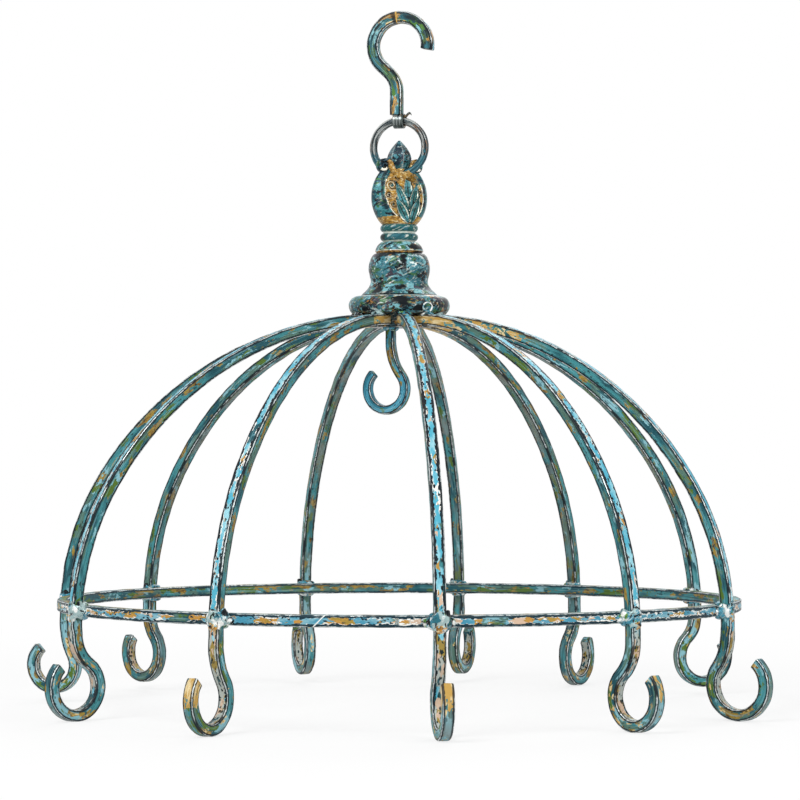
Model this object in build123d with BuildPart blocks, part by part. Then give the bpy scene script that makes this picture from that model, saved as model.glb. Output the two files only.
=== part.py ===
from build123d import *
import os
from math import asin, atan2, cos, degrees, radians, sin, sqrt

# A domed herb drying rack that hangs from a hook. Lengths are in millimetres and angles in degrees.
# The origin lies on the dome's axis, at the level that the long herb hooks stand on, with +Z up.
# An azimuth is turned about +Z from the front, -Y, towards +X.

# Bar stock
bar = 6.0  # square bar of the ribs, the herb hooks and the hoop
hanger_bar = 6.5  # square bar of the hanger hook
small_bar = 4.9  # square bar of the centre hook
ring_wire = 4.2  # round wire of the link ring

# Dome
hoop_height = 56.2  # mid-plane of the hoop above the floor
rib_radius = 186.2  # a rib's centreline where it stands upright, at its foot
rib_foot = hoop_height - 8.0  # where the dome's curve ends and the hook's twist starts
lower_arc_radius = 141.3
lower_arc_angle = 31.4
upper_arc_radius = 180.2
boss_radius = 15.5
boss_thickness = 6.9

# Herb hooks, one at each rib's foot
twist_length = 4.0  # where the bar turns from the rib's plane into its hook's plane
short_hook_lift = 4.7  # how far the back hooks stop above the floor

# Every rib's azimuth, whether its hook reaches the floor, the hook's turn about its shank, how far its
# bow's centre stands out from the shank, its bow's centreline radius and its tip's angle over level.
ribs = [
    (6.0, True, 4.0, 6.5, 14.3, 41.0),
    (38.0, True, 3.0, 2.0, 14.3, 42.0),
    (64.5, True, -10.0, 6.8, 15.3, 51.0),
    (116.5, False, -6.0, 5.0, 14.3, 30.0),
    (146.5, True, 2.5, 3.0, 14.5, 36.0),
    (169.0, False, -10.0, 5.0, 14.3, 36.0),
    (197.5, False, 0.0, 3.5, 14.3, 38.0),
    (230.5, False, -6.0, 5.0, 13.9, 36.0),
    (259.0, False, -8.0, 7.0, 12.6, 48.0),
    (297.5, True, 14.0, 0.0, 14.3, 47.0),
    (331.5, True, -4.0, 6.0, 14.6, 41.0),
]

# Weld metal
knuckle_sides = 8
knuckle_outline = [(2.5, -5.0), (5.4, 0.0), (3.9, 6.0), (2.3, 7.0)]  # half widths, outwards from the seam
crown_bead = 1.8
crown_bead_run = 7.5
collar_leg = 1.9  # the fillet weld round the centre hook's top

# Bell hub, with heights above the underside of its flange
hub_flats = 24  # how many flats stand for the turned surface
hub_bore = 4.3
flange_foot_radius = 24.7
flange_core_radius = 22.2  # middle of the flange's rolled edge
flange_roll = 5.0
flange_middle = 4.6
flange_half_height = 5.3
bell_outline = [
    (20.4, 11.3),
    (17.3, 14.4),
    (15.4, 17.5),
    (16.0, 20.5),
    (16.5, 24.5),
    (15.6, 29.8),
    (13.3, 32.9),
]
collar_outline = [(12.6, 33.6), (11.7, 36.4), (9.7, 39.2)]
bead_neck_radius = 8.6
bead_core_radius = 7.9
bead_roll = 2.25
bead_height = 4.4
bead_gap = 0.4
lower_bead_foot = collar_outline[-1][1] + bead_gap / 2
upper_bead_foot = lower_bead_foot + bead_height + bead_gap
hub_height = upper_bead_foot + bead_height
stud_radius = 4.0
stud_in_boss = 5.4
stud_in_finial = 9.0

# Finial casting, with heights above its foot
finial_azimuth = 22.0  # the way that its carved face looks
finial_half_width = 15.2
finial_half_height = 18.5
finial_middle = 15.5
finial_foot_radius = 8.4
panel_half_width = 10.6
panel_half_height = 15.6
panel_middle = 17.2
panel_depth = 1.3
eye_height = 27.2  # the hole that the link ring runs through
eye_throat = 2.65
eye_taper = 19.0
eye_reach = 9.0
volute_offset = 9.9
volute_height = 30.9
volute_radius = 3.7
volute_half_depth = 2.2
volute_sides = 12
bud_tip = 45.3
bud_outline = [(3.7, 30.0), (6.0, 35.6), (4.1, 41.0), (0.7, bud_tip)]  # half widths and heights
finial_depths = [(8.4, 0), (7.5, 10), (5.6, 19), (2.9, 27), (2.4, 34)]
leaf_leans = (-50, -25, 0, 25, 50)
leaf_foot = 3.0
leaf_length = 21.0
leaf_half_width = 2.1

# Link ring and hanger hook
ring_azimuth = 75.0  # the way that the ring's wire runs through the finial
ring_radius = 14.3
ring_flats = 24
loop_bore = 2.75  # the hanger's eye round the top of the link ring
loop_wall = 1.35
loop_width = 6.0
hanger_bow_radius = 15.1
hanger_bow_rise = 40.8
hanger_bow_offset = 0.7
hanger_tip_angle = -10.0
hanger_neck_angle = 44.0
hanger_neck_radius = 14.0
hanger_neck_run = 5.7

# Centre hook under the crown
centre_hook_azimuth = 242.0
centre_hook_offset = -4.5
centre_hook_straight = 8.0
centre_bow_radius = 11.4
centre_bow_offset = 2.7
centre_bow_drop = 33.0
centre_tip_angle = 47.0

# Heights that follow from the rib's curve
lower_arc_rise = lower_arc_radius * sin(radians(lower_arc_angle))
lower_arc_lean = lower_arc_radius * (1 - cos(radians(lower_arc_angle)))
arc_centre_radius = rib_radius - lower_arc_lean - upper_arc_radius * cos(radians(lower_arc_angle))
arc_centre_height = rib_foot + lower_arc_rise - upper_arc_radius * sin(radians(lower_arc_angle))
rib_end_radius = boss_radius - 1.0
rib_end_angle = 90.0 - degrees(asin((rib_end_radius - arc_centre_radius) / upper_arc_radius))
crown_height = arc_centre_height + sqrt(
    (upper_arc_radius + bar / 2) ** 2 - (boss_radius - arc_centre_radius) ** 2
)
boss_foot = crown_height - boss_thickness
finial_foot = crown_height + hub_height
ring_eye_height = finial_foot + eye_height
ring_top_height = ring_eye_height + 2 * ring_radius

# The hoop lies against the ribs' inner faces
hoop_sag = (bar / 2 + hoop_height - rib_foot) ** 2 / (2 * lower_arc_radius)
hoop_radius = rib_radius - bar / 2 - hoop_sag


def outward(azimuth):
    """The level unit direction at an azimuth."""
    return (sin(radians(azimuth)), -cos(radians(azimuth)), 0)


def upright_plane(azimuth, radius=0.0):
    """An upright plane whose X runs outward at an azimuth and whose Y is the height over the floor."""
    out = outward(azimuth)
    across = outward(azimuth - 90)
    return Plane(
        origin=(radius * out[0], radius * out[1], 0),
        x_dir=out,
        z_dir=across,
    )


def hook_line(start_height, bow_offset, bow_height, bow_radius, tip_angle):
    """Draws an open hook: an arc that swings in from the shank, then the bow, up to its tip."""
    drop = start_height - bow_height
    swing_radius = (bow_offset**2 + drop**2 - bow_radius**2) / (2 * (bow_radius - bow_offset))
    swing_angle = degrees(atan2(drop, bow_offset + swing_radius))
    swing = JernArc((0, start_height), (0, -1), swing_radius, -swing_angle)
    JernArc(swing @ 1, swing % 1, bow_radius, 180 + swing_angle + tip_angle)


def rounded(core_x, core_y, reach_x, reach_y, start, end, flats):
    """The corners of a round stretch that is cut into flats."""
    turns = [radians(start + (end - start) * step / flats) for step in range(flats + 1)]
    return [(core_x + reach_x * cos(turn), core_y + reach_y * sin(turn)) for turn in turns]


def stacked(base, outline, sides):
    """Stacks tapered slices on a plane: one for each step of an outline of half widths and heights."""
    for (low_reach, low), (high_reach, high) in zip(outline, outline[1:]):
        if high > low:
            with BuildSketch(base.offset(low)) as slice_foot:
                RegularPolygon(low_reach, sides, major_radius=False)
            lean = degrees(atan2(low_reach - high_reach, high - low))
            extrude(slice_foot.sketch, amount=high - low, taper=lean)


def faceted(outline, sides, heading, foot):
    """Cuts a flat-sided piece: what one straight cut along its outline, for each pair of sides, leaves."""
    silhouette = [(half_width, foot + height) for half_width, height in outline]
    silhouette += [(-half_width, height) for half_width, height in reversed(silhouette)]
    reach = 2 * max(half_width for half_width, _ in outline)
    with BuildPart() as piece:
        for step in range(sides // 2):
            with BuildSketch(upright_plane(heading + 360 * step / sides)):
                with BuildLine():
                    Polyline(*silhouette, close=True)
                make_face()
            extrude(amount=reach, both=True, mode=Mode.INTERSECT if step else Mode.ADD)
    return piece.part


os.makedirs("parts", exist_ok=True)

# Crown boss: a turned disc that the ribs' ends are welded round, tapped for the stud
with BuildPart() as crown_boss:
    with BuildSketch(Plane.XY.offset(boss_foot)):
        Circle(boss_radius)
    extrude(amount=boss_thickness)
    with Locations((0, 0, crown_height)):
        Hole(stud_radius, depth=stud_in_boss)
crown_boss.part.label = "crown_boss"
export_step(crown_boss.part, "parts/crown_boss.step")

# Ribs: one bent bar each, from the crown down the dome, with a twist below the hoop and then the hook
rib_parts = []
for number, (azimuth, long_hook, turn, bow_offset, bow_radius, tip_angle) in enumerate(ribs, 1):
    lift = 0.0 if long_hook else short_hook_lift
    bow_height = lift + bar / 2 + bow_radius
    foot = outward(azimuth)
    with BuildPart() as rib:
        with BuildSketch(upright_plane(azimuth)):
            with BuildLine():
                lower = JernArc((rib_radius, rib_foot), (0, 1), lower_arc_radius, lower_arc_angle)
                JernArc(lower @ 1, lower % 1, upper_arc_radius, rib_end_angle - lower_arc_angle)
            trace(line_width=bar)
        extrude(amount=bar / 2, both=True)
        for height, heading in ((rib_foot, azimuth), (rib_foot - twist_length, azimuth + turn)):
            corner = (rib_radius * foot[0], rib_radius * foot[1], height)
            with BuildSketch(Plane(origin=corner, x_dir=outward(heading), z_dir=(0, 0, 1))):
                Rectangle(bar, bar)
        loft()
        shank = Vector(rib_radius * foot[0], rib_radius * foot[1], 0)
        hook_plane = Plane(
            origin=shank,
            x_dir=outward(azimuth + turn),
            z_dir=outward(azimuth + turn - 90),
        )
        with BuildSketch(hook_plane):
            with BuildLine():
                hook_line(rib_foot - twist_length, bow_offset, bow_height, bow_radius, tip_angle)
            trace(line_width=bar)
        extrude(amount=bar / 2, both=True)
        with Locations((0, 0, crown_height)):
            Cylinder(boss_radius, 4 * bar, mode=Mode.SUBTRACT)
    rib.part.label = f"rib_{number:02d}"
    export_step(rib.part, f"parts/rib_{number:02d}.step")
    rib_parts.append(rib.part)

# Hoop: the same bar bent into a flat ring inside the ribs
with BuildPart() as hoop:
    with BuildSketch(Plane.XY.offset(hoop_height - bar / 2)):
        Circle(hoop_radius)
        Circle(hoop_radius - bar, mode=Mode.SUBTRACT)
    extrude(amount=bar)
hoop.part.label = "hoop"
export_step(hoop.part, "parts/hoop.step")


# Hoop welds: at each crossing a faceted knuckle of weld metal that wraps the rib against the hoop
with BuildPart() as hoop_welds:
    for azimuth, *_ in ribs:
        out = outward(azimuth)
        seam = Plane(
            origin=(hoop_radius * out[0], hoop_radius * out[1], hoop_height),
            x_dir=outward(azimuth + 90),
            z_dir=out,
        )
        stacked(seam, knuckle_outline, knuckle_sides)
    add(hoop.part, mode=Mode.SUBTRACT)
    for rib_part in rib_parts:
        add(rib_part, mode=Mode.SUBTRACT)
hoop_welds.part.label = "hoop_welds"
export_step(hoop_welds.part, "parts/hoop_welds.step")

# Bell hub: a turned casting with a rolled flange, a waisted bell, a collar and two beads
with BuildPart() as bell_hub:
    hub_foot = Plane.XY.offset(crown_height)
    flange = [(flange_foot_radius, 0)]
    flange += rounded(flange_core_radius, flange_middle, flange_roll, flange_half_height, -35, 85, 4)
    stacked(hub_foot, flange + bell_outline + collar_outline, hub_flats)
    for level in (lower_bead_foot, upper_bead_foot):
        middle = level + bead_height / 2
        roll = rounded(bead_core_radius, middle, bead_roll, bead_height / 2, -66, 66, 3)
        stacked(hub_foot, [(bead_neck_radius, level)] + roll, hub_flats)
    stacked(hub_foot, [(bead_neck_radius, 0), (bead_neck_radius, hub_height)], hub_flats)
    with BuildSketch(hub_foot):
        Circle(hub_bore)
    extrude(amount=hub_height, mode=Mode.SUBTRACT)
bell_hub.part.label = "bell_hub"
export_step(bell_hub.part, "parts/bell_hub.step")

# Crown welds: a bead that fills the wedge between each rib's back and the flange over it
with BuildPart() as crown_bead_form:
    with BuildSketch():
        RegularPolygon(crown_bead, 6)
    extrude(amount=crown_bead_run / 2, both=True)
    bead_ends = crown_bead_form.faces().sort_by(Axis.Z)
    chamfer(bead_ends[0].edges() + bead_ends[-1].edges(), length=crown_bead / 2)

with BuildPart() as crown_welds:
    for azimuth, *_ in ribs:
        reach = flange_foot_radius - crown_bead
        foot = outward(azimuth)
        seam = Plane(
            origin=(reach * foot[0], reach * foot[1], crown_height - crown_bead / 3),
            x_dir=foot,
            z_dir=outward(azimuth + 90),
        )
        with Locations(seam):
            add(crown_bead_form.part)
    add(bell_hub.part, mode=Mode.SUBTRACT)
    for rib_part in rib_parts:
        add(rib_part, mode=Mode.SUBTRACT)
crown_welds.part.label = "crown_welds"
export_step(crown_welds.part, "parts/crown_welds.step")

# Hub stud: holds the finial and the bell hub down on the crown boss
with BuildPart() as hub_stud:
    with BuildSketch(Plane.XY.offset(crown_height - stud_in_boss)):
        Circle(stud_radius)
    extrude(amount=stud_in_boss + hub_height + stud_in_finial)
hub_stud.part.label = "hub_stud"
export_step(hub_stud.part, "parts/hub_stud.step")

# Finial: a flattened casting with a carved panel on each face, two volutes, a bud and the ring's eye
finial_plane = Plane(
    origin=(0, 0, finial_foot),
    x_dir=outward(finial_azimuth + 90),
    z_dir=outward(finial_azimuth),
)
finial_side = Plane(
    origin=(0, 0, finial_foot),
    x_dir=outward(finial_azimuth),
    z_dir=outward(finial_azimuth - 90),
)


def side_outline(sunk):
    """The casting's outline seen from its edge, sunk in from both carved faces."""
    edge = [(depth - sunk, height) for depth, height in finial_depths]
    return edge + [(-depth, height) for depth, height in reversed(edge)]


with BuildPart() as finial_core:
    with BuildSketch(finial_side):
        with BuildLine():
            Polyline(*side_outline(panel_depth), close=True)
        make_face()
    extrude(amount=panel_half_width, both=True)

with BuildPart() as finial:
    with BuildSketch(finial_side):
        with BuildLine():
            Polyline(*side_outline(0), close=True)
        make_face()
    extrude(amount=finial_half_width, both=True)
    with BuildSketch(finial_plane):
        rim = rounded(0, finial_middle, finial_half_width, finial_half_height, 0, 342, 19)
        with BuildLine():
            Polyline(*rim, close=True)
        make_face()
        panel = rounded(0, panel_middle, panel_half_width, panel_half_height, 0, 337.5, 15)
        with BuildLine():
            Polyline(*panel, close=True)
        make_face(mode=Mode.SUBTRACT)
        for lean in leaf_leans:
            reach = leaf_length * (1 - abs(lean) / 200)
            tip = (reach * sin(radians(lean)), leaf_foot + reach * cos(radians(lean)))
            side = (leaf_half_width * cos(radians(lean)), -leaf_half_width * sin(radians(lean)))
            middle = (0.45 * tip[0], leaf_foot + 0.45 * (tip[1] - leaf_foot))
            with BuildLine():
                Polyline(
                    (0, leaf_foot),
                    (middle[0] + side[0], middle[1] + side[1]),
                    tip,
                    (middle[0] - side[0], middle[1] - side[1]),
                    close=True,
                )
            make_face()
    extrude(amount=finial_half_width, both=True, mode=Mode.INTERSECT)
    add(finial_core.part)
    reach_outline = [(finial_foot_radius, 0), (2 * finial_half_width, finial_middle)]
    reach_outline += [(2 * finial_half_width, bud_tip)]
    add(faceted(reach_outline, 12, finial_azimuth, finial_foot), mode=Mode.INTERSECT)
    with BuildSketch(finial_plane):
        for side in (-volute_offset, volute_offset):
            with Locations((side, volute_height)):
                RegularPolygon(volute_radius, volute_sides)
        with BuildLine():
            Polyline(
                (-volute_offset, volute_height + volute_radius),
                (0, volute_height + volute_radius - 1.2),
                (volute_offset, volute_height + volute_radius),
                (volute_offset, volute_height),
                (-volute_offset, volute_height),
                close=True,
            )
        make_face()
    extrude(amount=volute_half_depth, both=True)
    add(faceted(bud_outline, 6, finial_azimuth, finial_foot))
    eye_plane = Plane(
        origin=(0, 0, ring_eye_height),
        x_dir=(0, 0, 1),
        z_dir=outward(ring_azimuth),
    )
    for reach in (eye_reach, -eye_reach):
        with BuildSketch(eye_plane):
            RegularPolygon(eye_throat, 8, major_radius=False)
        extrude(amount=reach, taper=-eye_taper, mode=Mode.SUBTRACT)
    with Locations((0, 0, finial_foot + stud_in_finial / 2)):
        Cylinder(stud_radius, stud_in_finial, mode=Mode.SUBTRACT)
finial.part.label = "finial"
export_step(finial.part, "parts/finial.step")

# Centre hook: a lighter bar under the crown boss
with BuildPart() as centre_hook:
    centre_plane = Plane(
        origin=(centre_hook_offset, 0, 0),
        x_dir=outward(centre_hook_azimuth),
        z_dir=outward(centre_hook_azimuth - 90),
    )
    with BuildSketch(centre_plane):
        with BuildLine():
            straight = Line((0, boss_foot), (0, boss_foot - centre_hook_straight))
            hook_line(
                boss_foot - centre_hook_straight,
                centre_bow_offset,
                boss_foot - centre_bow_drop,
                centre_bow_radius,
                centre_tip_angle,
            )
        trace(line_width=small_bar)
    extrude(amount=small_bar / 2, both=True)
centre_hook.part.label = "centre_hook"
export_step(centre_hook.part, "parts/centre_hook.step")

# Centre weld: a fillet of weld metal round the top of the centre hook
with BuildPart() as centre_weld:
    with BuildSketch(
        Plane(
            origin=(centre_hook_offset, 0, boss_foot),
            x_dir=outward(centre_hook_azimuth),
            z_dir=(0, 0, -1),
        )
    ):
        Rectangle(small_bar + 2 * collar_leg, small_bar + 2 * collar_leg)
    extrude(amount=collar_leg)
    chamfer(centre_weld.faces().sort_by(Axis.Z)[0].edges(), length=0.7 * collar_leg)
    add(centre_hook.part, mode=Mode.SUBTRACT)
centre_weld.part.label = "centre_weld"
export_step(centre_weld.part, "parts/centre_weld.step")

# Link ring: a closed ring of round wire through the finial's eye
with BuildPart() as link_ring:
    ring_plane = Plane(
        origin=(0, 0, ring_eye_height + ring_radius),
        x_dir=outward(ring_azimuth),
        z_dir=outward(ring_azimuth - 90),
    )
    half_flat = 180 / ring_flats
    corner_radius = ring_radius / cos(radians(half_flat))
    corners = rounded(0, 0, corner_radius, corner_radius, half_flat - 90, 270 - half_flat, ring_flats - 1)
    with BuildLine(ring_plane) as loop:
        Polyline((0, -ring_radius), *corners, close=True)
    with BuildSketch(Plane(origin=(0, 0, ring_eye_height), z_dir=outward(ring_azimuth))):
        RegularPolygon(ring_wire / 2, 8)
    sweep(path=loop.line, transition=Transition.RIGHT)
link_ring.part.label = "link_ring"
export_step(link_ring.part, "parts/link_ring.step")

# Hanger hook: a bow and a swan neck, flattened at its foot into an eye round the link ring
with BuildPart() as hanger_hook:
    with BuildSketch(upright_plane(ring_azimuth)):
        with BuildLine():
            bow_centre = (hanger_bow_offset, ring_top_height + hanger_bow_rise)
            bow = CenterArc(
                bow_centre,
                hanger_bow_radius,
                hanger_tip_angle,
                270 - hanger_neck_angle - hanger_tip_angle,
            )
            neck = Line(bow @ 1, (bow @ 1) + (bow % 1) * hanger_neck_run)
            bend = JernArc(neck @ 1, neck % 1, hanger_neck_radius, hanger_neck_angle - 90)
            Line(bend @ 1, ((bend @ 1).X, ring_top_height + loop_bore))
        trace(line_width=hanger_bar)
    extrude(amount=hanger_bar / 2, both=True)
    loop_plane = Plane(
        origin=(0, 0, ring_top_height),
        x_dir=(0, 0, 1),
        z_dir=outward(ring_azimuth),
    )
    with BuildSketch(loop_plane):
        Circle(loop_bore + loop_wall)
    extrude(amount=loop_width / 2, both=True)
    with BuildSketch(loop_plane):
        Circle(loop_bore)
    extrude(amount=hanger_bar, both=True, mode=Mode.SUBTRACT)
hanger_hook.part.label = "hanger_hook"
export_step(hanger_hook.part, "parts/hanger_hook.step")
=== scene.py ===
import logging
import math
from dataclasses import dataclass, replace
from enum import Enum
from typing import Sequence

import bmesh
import bpy
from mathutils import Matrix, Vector, noise
from mathutils.kdtree import KDTree


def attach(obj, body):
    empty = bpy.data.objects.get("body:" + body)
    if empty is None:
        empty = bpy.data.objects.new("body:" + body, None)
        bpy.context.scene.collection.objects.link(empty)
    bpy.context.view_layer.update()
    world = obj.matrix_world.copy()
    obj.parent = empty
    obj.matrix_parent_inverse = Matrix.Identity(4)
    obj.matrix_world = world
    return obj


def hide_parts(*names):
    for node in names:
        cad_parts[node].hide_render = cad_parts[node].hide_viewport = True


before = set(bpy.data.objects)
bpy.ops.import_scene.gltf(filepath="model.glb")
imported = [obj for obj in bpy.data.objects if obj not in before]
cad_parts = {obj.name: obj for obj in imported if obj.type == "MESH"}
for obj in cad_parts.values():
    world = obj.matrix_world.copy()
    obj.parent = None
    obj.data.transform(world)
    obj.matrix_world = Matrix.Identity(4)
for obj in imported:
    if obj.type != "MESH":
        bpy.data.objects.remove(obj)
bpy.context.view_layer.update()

# A domed herb drying rack that hangs from a hook. Sizes are in millimetres and angles in degrees, and
# a mesh is made in metres. An azimuth is turned about +Z from the front, -Y, towards +X.

MM = 0.001
log = logging.getLogger("herb_rack")

# What feeds a node's input: another node's socket, a number, a colour's screen code or a tuple.
Feed = bpy.types.NodeSocket | float | str | tuple


class Slot(Enum):
    """The record's material slots."""

    RIB = "rib_patina"
    HOOP = "hoop_patina"
    WELD = "weld_metal"
    CROWN = "crown_patina"
    CAST = "cast_patina"
    STUD = "stud_steel"
    FINIAL = "finial_patina"
    SMALL_HOOK = "small_hook_patina"
    RING = "ring_steel"
    HANGER = "hanger_patina"


class Body(Enum):
    """The bodies that pieces ride on."""

    RACK = "rack"
    RING = "link_ring"
    HANGER = "hanger_hook"


class RibLight(Enum):
    """How light and how green a rib's paint is by the way the rib faces: lighter on the front ribs as painted
    light, darker and greener on the rear ones as painted shade.
    """

    DULL = "dull"
    MIDDLING = "middling"
    BRIGHT = "bright"


def outward(azimuth: float) -> Vector:
    """The level unit direction at an azimuth."""
    return Vector((math.sin(math.radians(azimuth)), -math.cos(math.radians(azimuth)), 0.0))


def up(height: float) -> Vector:
    """The upright vector of a length."""
    return Vector((0, 0, height))


def along(middle: Vector, axes: Sequence[Vector], steps: Sequence[float]) -> Vector:
    """The place that lies some steps along three axes from a middle.

    Args:
        middle: Where the steps start.
        axes: The three directions.
        steps: How far to go along each.

    Returns:
        The place.
    """
    spot = middle.copy()
    for axis, step in zip(axes, steps):
        spot += axis * step
    return spot


def circle(count: int) -> list[tuple[float, float, float]]:
    """The turn, the cosine and the sine at even steps once round a circle."""
    turns = [2 * math.pi * step / count for step in range(count)]
    return [(turn, math.cos(turn), math.sin(turn)) for turn in turns]


def shade(code: str) -> tuple[float, float, float, float]:
    """A linear colour from its six-digit screen code.

    Args:
        code: The colour as six hexadecimal digits.

    Returns:
        Red, green, blue and alpha in Blender's linear space.
    """
    levels = [int(code[place:place + 2], 16) / 255 for place in (0, 2, 4)]
    linear = [v / 12.92 if v <= 0.04045 else ((v + 0.055) / 1.055) ** 2.4 for v in levels]
    return (linear[0], linear[1], linear[2], 1.0)


def smoothstep(low: float, high: float, value: float) -> float:
    """A smooth rise from 0 at low to 1 at high."""
    share = max(0.0, min(1.0, (value - low) / (high - low)))
    return share * share * (3 - 2 * share)


# Shader building


@dataclass(frozen=True)
class Grain:
    """The grain of a noise field: a feature's size along X and across it, and a shift of its own."""

    along: float
    across: float
    shift: float
    detail: float = 3
    rough: float = 0.5
    twist: float = 0.0

    def node_place(self) -> dict:
        """How the field's place is moved and scaled, so that one unit is a feature's size."""
        moved = (self.shift, self.shift * 1.7, -self.shift * 0.6)
        return {"Location": moved, "Scale": (1 / self.along, 1 / self.across, 1 / self.across)}


class Tree:
    """A node tree, built from its fields to its surface."""

    def __init__(self, owner: bpy.types.Material | bpy.types.World) -> None:
        """Empties the tree of a new material or world.

        Args:
            owner: The material or the world.
        """
        self.owner = owner
        self.owner.use_nodes = True
        self.nodes = self.owner.node_tree.nodes
        self.links = self.owner.node_tree.links
        self.nodes.clear()

    def add(self, kind: str, inputs: dict, **settings: object) -> bpy.types.Node:
        """Adds a node.

        Args:
            kind: The node's type.
            inputs: What feeds each input.
            settings: The node's own properties.

        Returns:
            The new node.
        """
        node = self.nodes.new(kind)
        for key, value in settings.items():
            setattr(node, key, value)
        for key, value in inputs.items():
            if isinstance(value, bpy.types.NodeSocket):
                self.links.new(value, node.inputs[key])
            else:
                node.inputs[key].default_value = shade(value) if isinstance(value, str) else value
        return node

    def math(self, operation: str, *values: Feed) -> bpy.types.NodeSocket:
        """The result of one arithmetic step."""
        return self.add("ShaderNodeMath", dict(enumerate(values)), operation=operation).outputs[0]

    def total(self, first: Feed, *others: Feed) -> Feed:
        """The sum of several values, from the left."""
        for other in others:
            first = self.math("ADD", first, other)
        return first

    def both(self, first: Feed, second: Feed) -> bpy.types.NodeSocket:
        """The common part of two masks, or a share of one."""
        return self.math("MULTIPLY", first, second)

    def sway(self, value: Feed, reach: float) -> bpy.types.NodeSocket:
        """Turns a field from 0 to 1 into one that swings about 0."""
        return self.both(self.math("SUBTRACT", value, 0.5), reach)

    def rise(self, value: Feed, low: float, high: float) -> bpy.types.NodeSocket:
        """A smooth mask that goes from 0 at low to 1 at high.

        Args:
            value: What the mask follows.
            low: Where it is 0.
            high: Where it is 1, which may lie under low.

        Returns:
            The mask.
        """
        places = {"Value": value, "From Min": low, "From Max": high}
        node = self.add("ShaderNodeMapRange", places, interpolation_type="SMOOTHSTEP")
        return node.outputs["Result"]

    def over(self, value: Feed, level: float, width: float) -> bpy.types.NodeSocket:
        """A mask of where a value is over a level, with an edge of a width."""
        return self.rise(value, level, level + width)

    def near(self, value: Feed, level: float, width: float) -> bpy.types.NodeSocket:
        """A mask that is 1 where a value is at a level and 0 past a width from it."""
        gap = self.math("ABSOLUTE", self.math("SUBTRACT", value, level))
        return self.rise(gap, width, width * 0.35)

    def blend(self, factor: Feed, below: Feed, above: Feed) -> bpy.types.NodeSocket:
        """Mixes two numbers by a factor."""
        return self.add("ShaderNodeMix", {0: factor, 2: below, 3: above}, data_type="FLOAT").outputs[0]

    def coat(self, below: Feed, above: Feed, mask: Feed, share: float = 1.0) -> bpy.types.NodeSocket:
        """Lays one colour over another.

        Args:
            below: The colour that is covered.
            above: The colour that covers it.
            mask: Where it covers it.
            share: How much of it shows at most.

        Returns:
            The colour.
        """
        factor = mask if share == 1.0 else self.both(mask, share)
        return self.add("ShaderNodeMix", {0: factor, 6: below, 7: above}, data_type="RGBA").outputs[2]

    def carried(self, name: str, output: str = "Fac") -> bpy.types.NodeSocket:
        """What the mesh's points carry under a name."""
        return self.add("ShaderNodeAttribute", {}, attribute_name=name).outputs[output]

    def seen(self) -> bpy.types.NodeSocket:
        """A mask of the rays that show what they meet: from the camera, mirrored or through glass.

        Returns:
            The mask.
        """
        path = self.add("ShaderNodeLightPath", {}).outputs
        other = self.math("MAXIMUM", path["Is Glossy Ray"], path["Is Transmission Ray"])
        return self.math("MAXIMUM", path["Is Camera Ray"], other)

    def stretch(self, place: Feed, grain: Grain) -> bpy.types.NodeSocket:
        """Scales a place in millimetres to a grain."""
        return self.add("ShaderNodeMapping", {"Vector": place} | grain.node_place()).outputs[0]

    def cloud(self, place: Feed, grain: Grain) -> bpy.types.NodeSocket:
        """A soft noise field of a grain, from 0 to 1."""
        inputs = {"Vector": self.stretch(place, grain), "Scale": 1.0, "Detail": grain.detail,
                  "Roughness": grain.rough, "Distortion": grain.twist}
        return self.add("ShaderNodeTexNoise", inputs).outputs[0]

    def shards(self, place: Feed, grain: Grain) -> bpy.types.NodeSocket:
        """A field of straight-sided shards of a grain, each with a level of its own from 0 to 1.

        Args:
            place: The place in millimetres.
            grain: The shards' size.

        Returns:
            The field.
        """
        inputs = {"Vector": self.stretch(place, grain), "Scale": 1.0, "Randomness": 1.0}
        cells = self.add("ShaderNodeTexVoronoi", inputs)
        return self.add("ShaderNodeSeparateColor", {0: cells.outputs["Color"]}).outputs[0]

    def finish(self, colour: Feed, roughness: Feed, metallic: Feed, height: Feed, depth: float) -> None:
        """Ends the tree in a glossy surface.

        Args:
            colour: The surface's colour.
            roughness: Its roughness.
            metallic: Its share of bare metal.
            height: The relief, from 0 to 1.
            depth: The relief's depth in millimetres.
        """
        bump = self.add("ShaderNodeBump", {"Height": height, "Distance": depth * MM, "Strength": 0.8})
        inputs = {
            "Base Color": colour,
            "Roughness": roughness,
            "Metallic": metallic,
            "Specular IOR Level": 0.18,
            "Normal": bump.outputs[0],
        }
        surface = self.add("ShaderNodeBsdfPrincipled", inputs)
        self.add("ShaderNodeOutputMaterial", {"Surface": surface.outputs[0]})


class BarTree(Tree):
    """A node tree with the fields that every layer of a bar's paint shares."""

    SMALL_SHARDS = Grain(1.5, 0.8, 4.4)
    LARGE_SHARDS = Grain(4.6, 1.9, 11.8)

    def __init__(self, name: str) -> None:
        """Reads where a place lies on the bar, and breaks the bar into shards.

        Args:
            name: The material's name.
        """
        super().__init__(bpy.data.materials.new(name))
        self.place = self.carried("bar_place", "Vector")
        self.edge = self.carried("edge")
        self.hook = self.carried("tone")
        parts = self.add("ShaderNodeSeparateXYZ", {0: self.place}).outputs
        self.run, self.out, self.side = parts["X"], parts["Y"], parts["Z"]
        self.small = self.shards(self.place, self.SMALL_SHARDS)
        self.large = self.shards(self.place, self.LARGE_SHARDS)

    def lie(self, grain: Grain) -> bpy.types.NodeSocket:
        """A soft noise field that lies along the bar."""
        return self.cloud(self.place, grain)


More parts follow.
